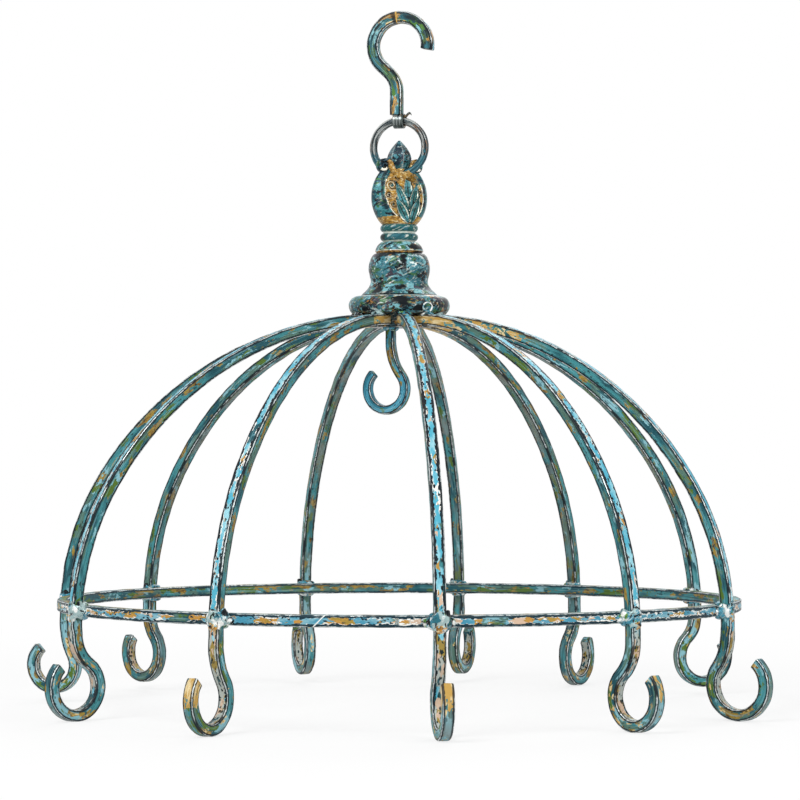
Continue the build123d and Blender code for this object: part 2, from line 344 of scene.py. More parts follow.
class BarGrain:
    """The noise fields of a bar's paint, each named for what it draws."""

    CALM = Grain(22, 7, 3.1)
    SAGE = Grain(26, 6.5, 9.4, twist=0.2)
    LIGHT = Grain(17, 5.0, 15.2, twist=0.2)
    OLIVE = Grain(15, 5.5, 21.7, twist=0.2)
    OCHRE = Grain(12, 4.5, 33.3, twist=0.2)
    RUST = Grain(3, 1.6, 5.5, 4, 0.6)
    PALE_STREAKS = Grain(26, 0.7, 77.0, rough=0.6)
    DARK_STREAKS = Grain(22, 0.8, 83.0, rough=0.6)
    GRIME = Grain(19, 8, 41.0)
    GRIME_RUST = Grain(9, 4, 47.0, 4, 0.55)
    LEAF = Grain(9, 2, 19.0, rough=0.55)
    BAND_BREAKS = Grain(26, 60, 63.0, 2)
    BAND_WANDER = Grain(8.5, 2.8, 27.0)
    BARE_TINT = Grain(13, 5, 57.0, rough=0.55)
    SHEEN = Grain(8, 3, 71.0, rough=0.55)
    GOLD = Grain(13, 7, 88.0, 2)
    BLUSH = Grain(15, 8, 97.0, 2)
    CHIP_DRIFT = Grain(48, 90, 131.0, 2)
    CORNER_BREAKS = Grain(14, 30, 53.0, rough=0.55)
    RELIEF = Grain(1.2, 0.6, 13.0, rough=0.6)


@dataclass(frozen=True)
class BarPaint:
    """Worn paint on square bar: calm patches on every face, and a ragged bright band down the outer one.

    A level is the height of noise over which a layer shows, so a lower level shows more of it.
    """

    name: str
    half: float = 3.0
    deep: str = "1B4F59"
    teal: str = "41898F"
    light: str = "87BAC4"
    sage: str = "54766A"
    olive: str = "53702A"
    ochre: str = "9F8539"
    amber: str = "BF8E44"
    rust: str = "775A2C"
    flake: str = "52ACC4"
    pale: str = "97CEDA"
    chip: str = "EDEFEA"
    blush: str = "D2B59C"
    dark: str = "0A161E"
    # Bare steel on the corners, which also stands for a painted highlight.
    steel_glint: str = "C3CBCB"
    under: str = "8A908C"
    bare: str = "B7BDB6"
    gilt: str = "C09A50"
    cream: str = "E3CFA0"
    band_width: float = 0.50
    band_level: float = 0.40
    gold_level: float = 0.62
    blush_level: float = 0.66
    olive_level: float = 0.60
    ochre_level: float = 0.60
    sage_level: float = 0.52
    light_level: float = 0.60
    chip_reach: float = 0.50
    chip_drift: float = 0.5
    deep_level: float = 0.40
    grime: float = 0.45
    seam_run: float | None = None
    seam_slant: float = 1.0

    def material(self) -> bpy.types.Material:
        """Makes the material.

        Returns:
            The material, whose pattern follows the bar.
        """
        tree = BarTree(self.name)
        colour = self.undersides(tree, self.patches(tree))
        colour = self.gilding(tree, colour)
        colour, flakes = self.band(tree, colour)
        colour, bare = self.corners(tree, colour)
        if self.seam_run is not None:
            colour = self.seam(tree, colour)
        height = tree.total(tree.both(flakes, 0.5), tree.both(tree.lie(BarGrain.RELIEF), 0.3))
        tree.finish(colour, tree.blend(bare, 0.46, 0.32), tree.blend(bare, 0.05, 0.4), height, 0.10)
        return tree.owner

    def patches(self, tree: BarTree) -> Feed:
        """The calm patches of paint that lie along every face, darkened towards each corner as painted shade.

        Args:
            tree: The tree that is being built.

        Returns:
            The colour.
        """
        calm = tree.lie(BarGrain.CALM)
        colour = tree.coat(self.deep, self.teal, tree.over(calm, self.deep_level, 0.16))
        rusty = tree.coat(self.ochre, self.rust, tree.rise(tree.lie(BarGrain.RUST), 0.45, 0.62))
        lighter_hooks = tree.both(tree.hook, 0.08)
        layers = (
            (self.sage, self.sage_level, BarGrain.SAGE, 0.05, 0.10, 0.0),
            (self.light, self.light_level, BarGrain.LIGHT, 0.03, 0.12, lighter_hooks),
            (self.olive, self.olive_level, BarGrain.OLIVE, 0.02, 0.12, 0.0),
            (rusty, self.ochre_level, BarGrain.OCHRE, 0.02, 0.12, 0.0),
        )
        for tint, level, grain, width, jag, extra in layers:
            frayed = tree.total(tree.lie(grain), tree.sway(tree.large, jag))
            field = tree.total(frayed, tree.sway(tree.small, 0.04), extra)
            colour = tree.coat(colour, tint, tree.over(field, level, width))
        specks = tree.total(tree.small, tree.sway(calm, 0.5))
        pale_streaks, dark_streaks = tree.lie(BarGrain.PALE_STREAKS), tree.lie(BarGrain.DARK_STREAKS)
        colour = tree.coat(colour, self.dark, tree.rise(specks, 0.95, 0.97), 0.75)
        colour = tree.coat(colour, self.light, tree.rise(pale_streaks, 0.54, 0.66), 0.5)
        colour = tree.coat(colour, self.dark, tree.rise(dark_streaks, 0.54, 0.68), 0.6)
        # Darker towards each corner: painted shade that rounds each face off.
        return tree.coat(colour, self.dark, tree.rise(tree.edge, 0.35, 0.85), 0.45)

    def undersides(self, tree: BarTree, colour: Feed) -> Feed:
        """Lays grey and brown over the faces that look inwards or down.

        Args:
            tree: The tree that is being built.
            colour: The colour below.

        Returns:
            The colour.
        """
        back = tree.rise(tree.out, -self.half * 0.82, -self.half * 0.92)
        normal = tree.add("ShaderNodeNewGeometry", {}).outputs["Normal"]
        upright = tree.add("ShaderNodeSeparateXYZ", {0: normal}).outputs["Z"]
        hidden = tree.math("MAXIMUM", tree.both(back, self.grime), tree.rise(upright, -0.15, -0.75))
        patch = tree.rise(tree.lie(BarGrain.GRIME), 0.44, 0.56)
        tint = tree.coat(self.under, self.rust, tree.rise(tree.lie(BarGrain.GRIME_RUST), 0.45, 0.6))
        tint = tree.coat(tint, self.under, 0.5)
        return tree.coat(colour, tint, tree.both(hidden, patch), 0.65)

    def gilding(self, tree: BarTree, colour: Feed) -> Feed:
        """Lays gold leaf where the bar's points carry gilding.

        Args:
            tree: The tree that is being built.
            colour: The colour below.

        Returns:
            The colour.
        """
        worn = tree.total(tree.sway(tree.large, 0.6), tree.sway(tree.small, 0.25), tree.carried("gild"))
        leaf = tree.coat(self.gilt, self.cream, tree.rise(tree.lie(BarGrain.LEAF), 0.45, 0.6))
        return tree.coat(colour, leaf, tree.rise(worn, 0.50, 0.54))

    def bare_hook(self, tree: BarTree) -> Feed:
        """The grey metal of the hooks' outer faces, with what is left of their paint.

        Args:
            tree: The tree that is being built.

        Returns:
            The colour.
        """
        tint = tree.lie(BarGrain.BARE_TINT)
        rosy = tree.rise(tree.total(tree.large, tree.sway(tint, 0.6)), 0.80, 0.82)
        specks = tree.rise(tree.total(tree.small, tree.sway(tint, 0.5)), 0.86, 0.88)
        bare = tree.coat(self.bare, self.ochre, tree.rise(tint, 0.54, 0.58))
        bare = tree.coat(bare, self.deep, tree.rise(tint, 0.44, 0.41))
        return tree.coat(tree.coat(bare, self.blush, rosy), self.dark, specks)

    def flakes(self, tree: BarTree, ragged: Feed) -> Feed:
        """The bright paint inside the band, with gold, blush and white chips.

        Args:
            tree: The tree that is being built.
            ragged: How near the place is to a corner, unevenly.

        Returns:
            The colour.
        """
        sheen = tree.lie(BarGrain.SHEEN)
        gold = tree.total(tree.lie(BarGrain.GOLD), tree.sway(tree.large, 0.16))
        rosy = tree.total(tree.lie(BarGrain.BLUSH), tree.sway(tree.large, 0.12))
        drift = tree.sway(tree.lie(BarGrain.CHIP_DRIFT), self.chip_drift * 2)
        rim = tree.total(ragged, drift, tree.sway(tree.large, 0.35))
        specks = tree.total(tree.small, tree.sway(sheen, 0.4))
        bright = tree.coat(self.flake, self.pale, tree.rise(sheen, 0.42, 0.62))
        amber = tree.coat(self.ochre, self.amber, tree.rise(sheen, 0.40, 0.60))
        bright = tree.coat(bright, amber, tree.over(gold, self.gold_level, 0.01))
        bright = tree.coat(bright, self.blush, tree.over(rosy, self.blush_level, 0.01))
        bright = tree.coat(bright, self.chip, tree.over(rim, self.chip_reach, 0.02))
        return tree.coat(bright, self.dark, tree.rise(specks, 0.93, 0.95))

    def band(self, tree: BarTree, colour: Feed) -> tuple[Feed, Feed]:
        """Lays the ragged bright band with its dark border down the outer face.

        Args:
            tree: The tree that is being built.
            colour: The colour below.

        Returns:
            The colour, and the mask of the flakes.
        """
        face = tree.rise(tree.out, self.half * 0.80, self.half * 0.86)
        breaks = tree.total(tree.lie(BarGrain.BAND_BREAKS), tree.sway(tree.large, 0.10))
        faded = tree.total(tree.both(tree.hook, 0.6), tree.sway(tree.large, 0.5))
        outer = tree.both(face, tree.over(breaks, self.band_level, 0.02))
        outer = tree.both(outer, tree.rise(faded, 0.42, 0.38))
        colour = tree.coat(colour, self.bare_hook(tree), tree.both(face, tree.both(tree.hook, 0.9)))
        wander = tree.sway(tree.lie(BarGrain.BAND_WANDER), 1.1)
        ragged = tree.total(tree.sway(tree.small, 0.34), wander, tree.edge)
        inner, rim = self.band_width - 0.01, self.band_width + 0.02
        border = tree.both(tree.rise(ragged, inner, rim), tree.rise(ragged, 0.92, 0.84))
        colour = tree.coat(colour, self.dark, tree.both(outer, border))
        flakes = tree.both(outer, tree.rise(ragged, rim, inner))
        return tree.coat(colour, self.flakes(tree, ragged), flakes), flakes

    def corners(self, tree: BarTree, colour: Feed) -> tuple[Feed, Feed]:
        """Draws a dark line beside each corner, painted shade that outlines the bar, and on the corner bare
        metal that also stands for a painted highlight.

        Args:
            tree: The tree that is being built.
            colour: The colour below.

        Returns:
            The colour, and the mask of the bare metal with its painted highlight.
        """
        worn = tree.total(tree.edge, tree.sway(tree.small, 0.10))
        breaks = tree.rise(tree.lie(BarGrain.CORNER_BREAKS), 0.40, 0.48)
        # The dark line beside each corner is painted shade; the pale metal on the corner is bare steel and a
        # painted highlight.
        line = tree.both(tree.rise(worn, 0.62, 0.72), tree.rise(tree.both(worn, breaks), 0.96, 0.92))
        bare = tree.both(tree.rise(worn, 0.92, 0.96), breaks)
        return tree.coat(tree.coat(colour, self.dark, line, 0.92), self.steel_glint, bare), bare

    def seam(self, tree: BarTree, colour: Feed) -> Feed:
        """Draws the seam: a bright one on a slant, or a straight gilt one with a dark collar beside it.

        Args:
            tree: The tree that is being built.
            colour: The colour below.

        Returns:
            The colour.
        """
        slant = tree.math("SUBTRACT", tree.run, tree.both(tree.side, self.seam_slant))
        if not self.seam_slant:
            colour = tree.coat(colour, self.dark, tree.near(slant, self.seam_run - 1.5, 1.6), 0.8)
        tint = self.chip if self.seam_slant else self.gilt
        return tree.coat(colour, tint, tree.near(slant, self.seam_run, 0.55))


@dataclass(frozen=True)
class CastPaint:
    """Worn paint on a casting: blotches with streaks of painted sheen, and bare metal on what stands out; the
    points' tone also carries painted highlight and painted shade.
    """

    name: str
    grounds: tuple[str, ...] = ("7DB8C0", "443D49", "2C6470", "142730", "427E8A")
    spots: tuple[tuple[str, float], ...] = (
        ("3B6845", 0.56), ("C9D8D8", 0.63), ("060C10", 0.58), ("A0713A", 0.66),
    )
    size: float = 5.2
    fray: float = 0.35
    # How strongly the painted sheen's streaks show.
    sheen_streaks: float = 1.0
    streak_tilt: float = 0.6
    squash: float = 0.7
    gold: str = "C48F3C"
    tarnish: str = "7A562A"
    lustre: str = "E6D3A0"
    leaf: str = "1D5A59"
    groove: str = "081015"
    ridge: str = "D9DDD2"
    ridge_share: float = 0.7
    polish: float = 0.32
    metal: float = 0.12
    tarnish_grain: Grain = Grain(2.2, 2.2, 61.0, 4, 0.6)
    lustre_grain: Grain = Grain(2.6, 1.3, 67.0, rough=0.6)
    streak_grain: Grain = Grain(7, 1.4, 37.0, 4, 0.6)
    relief_grain: Grain = Grain(0.8, 0.8, 13.0, rough=0.6)

    def material(self) -> bpy.types.Material:
        """Makes the material.

        Returns:
            The material, whose pattern lies in the object's own space.
        """
        tree = Tree(bpy.data.materials.new(self.name))
        space = tree.add("ShaderNodeTexCoord", {}).outputs["Object"]
        scale = {0: space, 1: (1 / MM, 1 / MM, 1 / (MM * self.squash))}
        place = tree.add("ShaderNodeVectorMath", scale, operation="MULTIPLY").outputs[0]
        small = tree.shards(place, Grain(self.size * 0.2, self.size * 0.2, 4.4))
        large = tree.shards(place, Grain(self.size * 0.6, self.size * 0.6, 11.8))
        colour = self.gilding(tree, place, small, large, self.blotches(tree, place, small, large))
        tone = tree.total(tree.carried("tone"), tree.sway(small, self.fray))
        tilted = {"Vector": place, "Angle": self.streak_tilt}
        tilted_place = tree.add("ShaderNodeVectorRotate", tilted, rotation_type="Y_AXIS").outputs[0]
        streak = tree.cloud(tilted_place, self.streak_grain)
        # Pale streaks on a slant are painted highlights of a gloss, and dark streaks lie between them.
        colour = tree.coat(colour, self.ridge, tree.rise(streak, 0.56, 0.68), 0.75 * self.sheen_streaks)
        colour = tree.coat(colour, self.groove, tree.rise(streak, 0.45, 0.33), 0.8 * self.sheen_streaks)
        # Dark where the points' tone is low, which under the hub's flange, in the bell's corners and inside
        # the finial's eye is painted shade.
        colour = tree.coat(colour, self.groove, tree.rise(tone, -0.35, -0.75))
        # Pale where the tone is high, which over the hub's flange roll and on the lit half of the finial's
        # blades is a painted highlight.
        ridge = tree.both(tree.rise(tone, 0.45, 0.75), self.ridge_share)
        height = tree.total(tree.cloud(place, self.relief_grain), tree.both(large, 0.4))
        tree.finish(tree.coat(colour, self.ridge, ridge), tree.blend(ridge, self.polish, 0.3),
                    tree.blend(ridge, self.metal, 0.35), height, 0.10)
        return tree.owner

    def blotches(self, tree: Tree, place: Feed, small: Feed, large: Feed) -> Feed:
        """The blotches of the ground colours, with the spots on them.

        Args:
            tree: The tree that is being built.
            place: The place in millimetres.
            small: The field of small shards.
            large: The field of large shards.

        Returns:
            The colour.
        """
        colour: Feed = self.grounds[0]
        # Each shard shifts the fields a little, so that the blotches and spots get straight-sided edges.
        jag = tree.total(tree.sway(large, 0.10), tree.sway(small, 0.05))
        for number, code in enumerate(self.grounds[1:], 1):
            grain = Grain(self.size * 1.9, self.size * 1.9, 9.3 * number, 4, 0.55, 0.4)
            field = tree.total(jag, tree.cloud(place, grain))
            colour = tree.coat(colour, code, tree.rise(field, 0.50, 0.54))
        jag = tree.total(tree.sway(large, 0.12), tree.sway(small, 0.08))
        for number, (code, level) in enumerate(self.spots):
            grain = Grain(self.size * 1.1, self.size, 50.0 + 7.7 * number, 4, 0.6, 0.6)
            field = tree.total(jag, tree.cloud(place, grain))
            colour = tree.coat(colour, code, tree.over(field, level, 0.015))
        return colour

    def gilding(self, tree: Tree, place: Feed, small: Feed, large: Feed, colour: Feed) -> Feed:
        """Lays old gold where the points carry gilding, and green where they carry less than none.

        Args:
            tree: The tree that is being built.
            place: The place in millimetres.
            small: The field of small shards.
            large: The field of large shards.
            colour: The colour below.

        Returns:
            The colour.
        """
        gild = tree.carried("gild")
        tarnished = tree.rise(tree.cloud(place, self.tarnish_grain), 0.40, 0.62)
        lustrous = tree.rise(tree.cloud(place, self.lustre_grain), 0.54, 0.62)
        leaf = tree.coat(tree.coat(self.gold, self.tarnish, tarnished), self.lustre, lustrous, 0.75)
        colour = tree.coat(colour, leaf, tree.rise(tree.total(gild, tree.sway(small, 0.5)), 0.42, 0.58))
        green = tree.coat(self.leaf, self.grounds[2], tree.rise(large, 0.4, 0.9))
        return tree.coat(colour, green, tree.rise(gild, -0.3, -0.7))


@dataclass(frozen=True)
class WirePaint:
    """Bare, drawn steel wire with brown and dark streaks, stained where it runs through the casting."""

    name: str
    bright: str = "C4C8C5"
    grey: str = "444D4F"
    brown: str = "7C5A40"
    dark: str = "121C22"
    stain: str = "2F7482"
    deep_stain: str = "1A4653"
    streak_grain: Grain = Grain(16, 0.9, 3.0, 4, 0.6)
    shard_grain: Grain = Grain(1.6, 0.7, 8.0)
    rust_grain: Grain = Grain(9, 1.6, 17.0, 4, 0.6)
    line_grain: Grain = Grain(22, 0.8, 31.0, rough=0.6)

    def material(self) -> bpy.types.Material:
        """Makes the material.

        Returns:
            The material, whose streaks follow the wire.
        """
        tree = Tree(bpy.data.materials.new(self.name))
        place = tree.carried("bar_place", "Vector")
        streak = tree.cloud(place, self.streak_grain)
        small = tree.shards(place, self.shard_grain)
        rust = tree.total(tree.cloud(place, self.rust_grain), tree.sway(small, 0.06))
        line = tree.cloud(place, self.line_grain)
        colour = tree.coat(self.grey, self.bright, tree.rise(streak, 0.46, 0.60))
        colour = tree.coat(colour, self.brown, tree.rise(rust, 0.54, 0.60))
        colour = tree.coat(colour, self.dark, tree.rise(line, 0.53, 0.57))
        patch = tree.total(tree.sway(small, 0.4), tree.sway(rust, 1.0), tree.carried("tone"))
        stain = tree.rise(patch, 0.52, 0.60)
        wash = tree.coat(self.deep_stain, self.stain, tree.rise(streak, 0.44, 0.60))
        tree.finish(tree.coat(colour, wash, stain, 0.85), tree.blend(stain, 0.3, 0.45),
                    tree.blend(stain, 0.55, 0.08), streak, 0.06)
        return tree.owner


# The front ribs show more of the bright band and the rear ones more sage: painted light on the front, painted
# shade on the rear.
RIB_LIGHT_LEVELS = {
    RibLight.DULL: {"band_level": 0.56, "sage_level": 0.48},
    RibLight.MIDDLING: {"band_level": 0.47, "light_level": 0.54},
    RibLight.BRIGHT: {"band_level": 0.34},
}


# Bars


@dataclass
class Station:
    """A place on a bar's line, with the way that its section stands there."""

    place: Vector
    face: Vector
    side: Vector
    run: float = 0.0
    girth: float = 1.0
    tone: float = 0.0
    gild: float = 0.0


def arc(centre: tuple[float, float], radius: float, start: float, end: float, step: float) -> list:
    """Points of an arc in a plane.

    Args:
        centre: The arc's centre.
        radius: Its radius.
        start: The angle where it starts, from the plane's X.
        end: The angle where it ends.
        step: The longest spacing between points.

    Returns:
        A list of places and unit directions out of the centre.
    """
    count = max(2, math.ceil(abs(math.radians(end - start)) * radius / step))
    points = []
    for number in range(count + 1):
        turn = math.radians(start + (end - start) * number / count)
        way = (math.cos(turn), math.sin(turn))
        points.append(((centre[0] + radius * way[0], centre[1] + radius * way[1]), way))
    return points


def turned_in(points: list) -> list:
    """The same points with their directions turned round."""
    return [(place, (-way[0], -way[1])) for place, way in points]


def stand(points: list, azimuth: float, origin: Vector) -> list[Station]:
    """Stands a line that was drawn in a plane up in space.

    Args:
        points: Its places, with the direction that the bar's face looks in.
        azimuth: The azimuth that the plane's X runs along.
        origin: Where the plane's origin goes.

    Returns:
        The line's stations.
    """
    out, side = outward(azimuth), outward(azimuth + 90)
    return [Station(origin + (out * place[0] + up(place[1])), out * way[0] + up(way[1]), side)
            for place, way in points]


def measure(stations: list[Station]) -> list[Station]:
    """Fills in each station's run from the first.

    Args:
        stations: The line.

    Returns:
        The same stations.
    """
    run = 0.0
    for before, station in zip([stations[0]] + stations, stations):
        run += (station.place - before.place).length
        station.run = run
    return stations


def taper_end(stations: list[Station], length: float, girth: float = 0.9) -> list[Station]:
    """Adds a small bevel at the last station, as on a sawn and dressed end.

    Args:
        stations: The bar's line.
        length: How far the bevel reaches.
        girth: The end's size next to the bar's.

    Returns:
        The line with its end bevelled inside its old length.
    """
    last, before = stations[-1], stations[-2]
    way = (last.place - before.place).normalized()
    stations[-1] = replace(last, place=last.place - way * length)
    stations.append(replace(last, girth=girth))
    return stations


@dataclass
class HookBend:
    """An open hook: an arc that swings in from the shank, and then the bow, up to its tip."""

    start_height: float
    bow_offset: float
    bow_height: float
    bow_radius: float
    tip_angle: float

    def points(self, step: float) -> list:
        """The hook's line in its own plane.

        Args:
            step: The spacing of the points.

        Returns:
            Places with the direction that the bar's face looks in.
        """
        drop = self.start_height - self.bow_height
        rest = self.bow_radius - self.bow_offset
        swing_radius = (self.bow_offset**2 + drop**2 - self.bow_radius**2) / (2 * rest)
        swing = math.degrees(math.atan2(drop, self.bow_offset + swing_radius))
        swing_arc = arc((-swing_radius, self.start_height), swing_radius, 0, -swing, step)
        middle = (self.bow_offset, self.bow_height)
        bow = arc(middle, self.bow_radius, 180 - swing, 360 + self.tip_angle, step)
        return swing_arc + turned_in(bow[1:])


def finish_mesh(name: str, shape: bmesh.types.BMesh, sharp: float = 50.0) -> bpy.types.Object:
    """Turns a bmesh into a smooth-shaded object in the scene.

    Args:
        name: The piece's name.
        shape: The mesh, which is freed.
        sharp: The angle past which an edge stays crisp.

    Returns:
        The new object.
    """
    bmesh.ops.recalc_face_normals(shape, faces=shape.faces)
    mesh = bpy.data.meshes.new(name)
    for face in shape.faces:
        face.smooth = True
    shape.to_mesh(mesh)
    shape.free()
    mesh.set_sharp_from_angle(angle=math.radians(sharp))
    return place_object(name, mesh)


def place_object(name: str, data: bpy.types.ID) -> bpy.types.Object:
    """Puts a new object with its data in the scene.

    Args:
        name: The object's name.
        data: Its mesh, lamp or camera.

    Returns:
        The object.
    """
    made = bpy.data.objects.new(name, data)
    bpy.context.scene.collection.objects.link(made)
    return made


class Shell:
    """A mesh that is spanned over rings of points, which carry what the paint reads."""

    def __init__(self, *carried: str) -> None:
        """Starts an empty mesh whose points carry values of these names.

        Args:
            carried: The names.
        """
        self.shape = bmesh.new()
        kinds = self.shape.verts.layers
        self.layers = []
        for name in carried:
            kind = kinds.float_vector if name == "bar_place" else kinds.float
            self.layers.append(kind.new(name))
        self.rings: list[list[bmesh.types.BMVert]] = []

    def ring(self) -> None:
        """Starts the next ring."""
        self.rings.append([])

    def point(self, spot: Vector, *values: object) -> None:
        """Adds a point to the ring.

        Args:
            spot: Its place in millimetres.
            values: What it carries, in the order of the names.
        """
        vertex = self.shape.verts.new(spot * MM)
        for layer, value in zip(self.layers, values):
            vertex[layer] = value
        self.rings[-1].append(vertex)

    def finish(self, name: str, closed: bool = False, sharp: float = 50.0) -> bpy.types.Object:
        """Spans the rings, and covers the two end ones or joins them.

        Args:
            name: The piece's name.
            closed: True where the last ring meets the first.
            sharp: The angle past which an edge stays crisp.

        Returns:
            The piece.
        """
        followers = self.rings[1:] + (self.rings[:1] if closed else [])
        for low, high in zip(self.rings, followers):
            for k in range(len(low)):
                after = (k + 1) % len(low)
                self.shape.faces.new((low[k], low[after], high[after], high[k]))
        if not closed:
            self.shape.faces.new(list(reversed(self.rings[0])))
            self.shape.faces.new(self.rings[-1])
        return finish_mesh(name, self.shape, sharp)


@dataclass
class BarStock:
    """Square bar with rounded corners, swept along a line of stations."""

    width: float
    corner: float = 0.9
    face_points: int = 5
    corner_points: int = 4
    hammering: float = 0.16
    dent_run: float = 0.11
    dent_across: float = 0.35
    fine_dents: float = 3.1
    floor: float = 0.01

    def section(self) -> list[tuple[float, float]]:
        """The section's points, once round, in millimetres from the bar's middle.

        Returns:
            Each point across and along the station's side.
        """
        half = self.width / 2
        core = half - self.corner
        points = []
        for quarter in range(4):
            turn = math.radians(90 * quarter)
            cos, sin = round(math.cos(turn)), round(math.sin(turn))
            local = [(half, core * (2 * k / self.face_points - 1)) for k in range(self.face_points)]
            for k in range(self.corner_points):
                bend = math.pi / 2 * k / self.corner_points
                local.append((core + self.corner * math.cos(bend), core + self.corner * math.sin(bend)))
            points += [(x * cos - y * sin, x * sin + y * cos) for x, y in local]
        return points

    def sweep(self, name: str, stations: Sequence[Station], seed: float,
              closed: bool = False) -> bpy.types.Object:
        """Builds the bar's mesh.

        Args:
            name: The piece's name.
            stations: The bar's line.
            seed: Where the bar lies in the paint's pattern.
            closed: True where the bar's ends meet.

        Returns:
            The piece, with its place in the bar's own space kept on its points.
        """
        section, half = self.section(), self.width / 2
        shell = Shell("bar_place", "edge", "tone", "gild")
        for station in stations:
            shell.ring()
            for a, b in section:
                key = Vector((station.run * self.dent_run + seed, a * self.dent_across, b * self.dent_across))
                dent = self.hammering * noise.noise(key)
                dent += self.hammering * 0.5 * noise.noise(key * self.fine_dents)
                grow = station.girth * (1 + dent / half)
                spot = station.place + (station.face * a + station.side * b) * grow
                spot.z = max(spot.z, self.floor)
                edge = min(abs(a), abs(b)) / (half - self.corner * 0.3)
                shell.point(spot, (station.run + seed, a, b), edge, station.tone, station.gild)
        return shell.finish(name, closed)


def dress(piece: bpy.types.Object, material: bpy.types.Material, body: Body, slot: Slot, *nodes: str) -> None:
    """Gives a piece its finish, its body and the nodes that it stands for.

    Args:
        piece: The piece.
        material: Its finish.
        body: The body that it rides on.
        slot: Not used.
        nodes: The nodes that it replaces.
    """
    piece.data.materials.clear()
    piece.data.materials.append(material)
    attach(piece, body.value)
    if nodes:
        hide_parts(*nodes)
    log.info("%s: %d faces on %s", piece.name, len(piece.data.polygons), body.value)


# Dome


@dataclass(frozen=True)
class Rib:
    """One rib with the hook at its foot."""

    azimuth: float
    long_hook: bool
    turn: float
    bow_offset: float
    bow_radius: float
    tip_angle: float
    rib_light: RibLight
    tip_gilding: float = 0.2


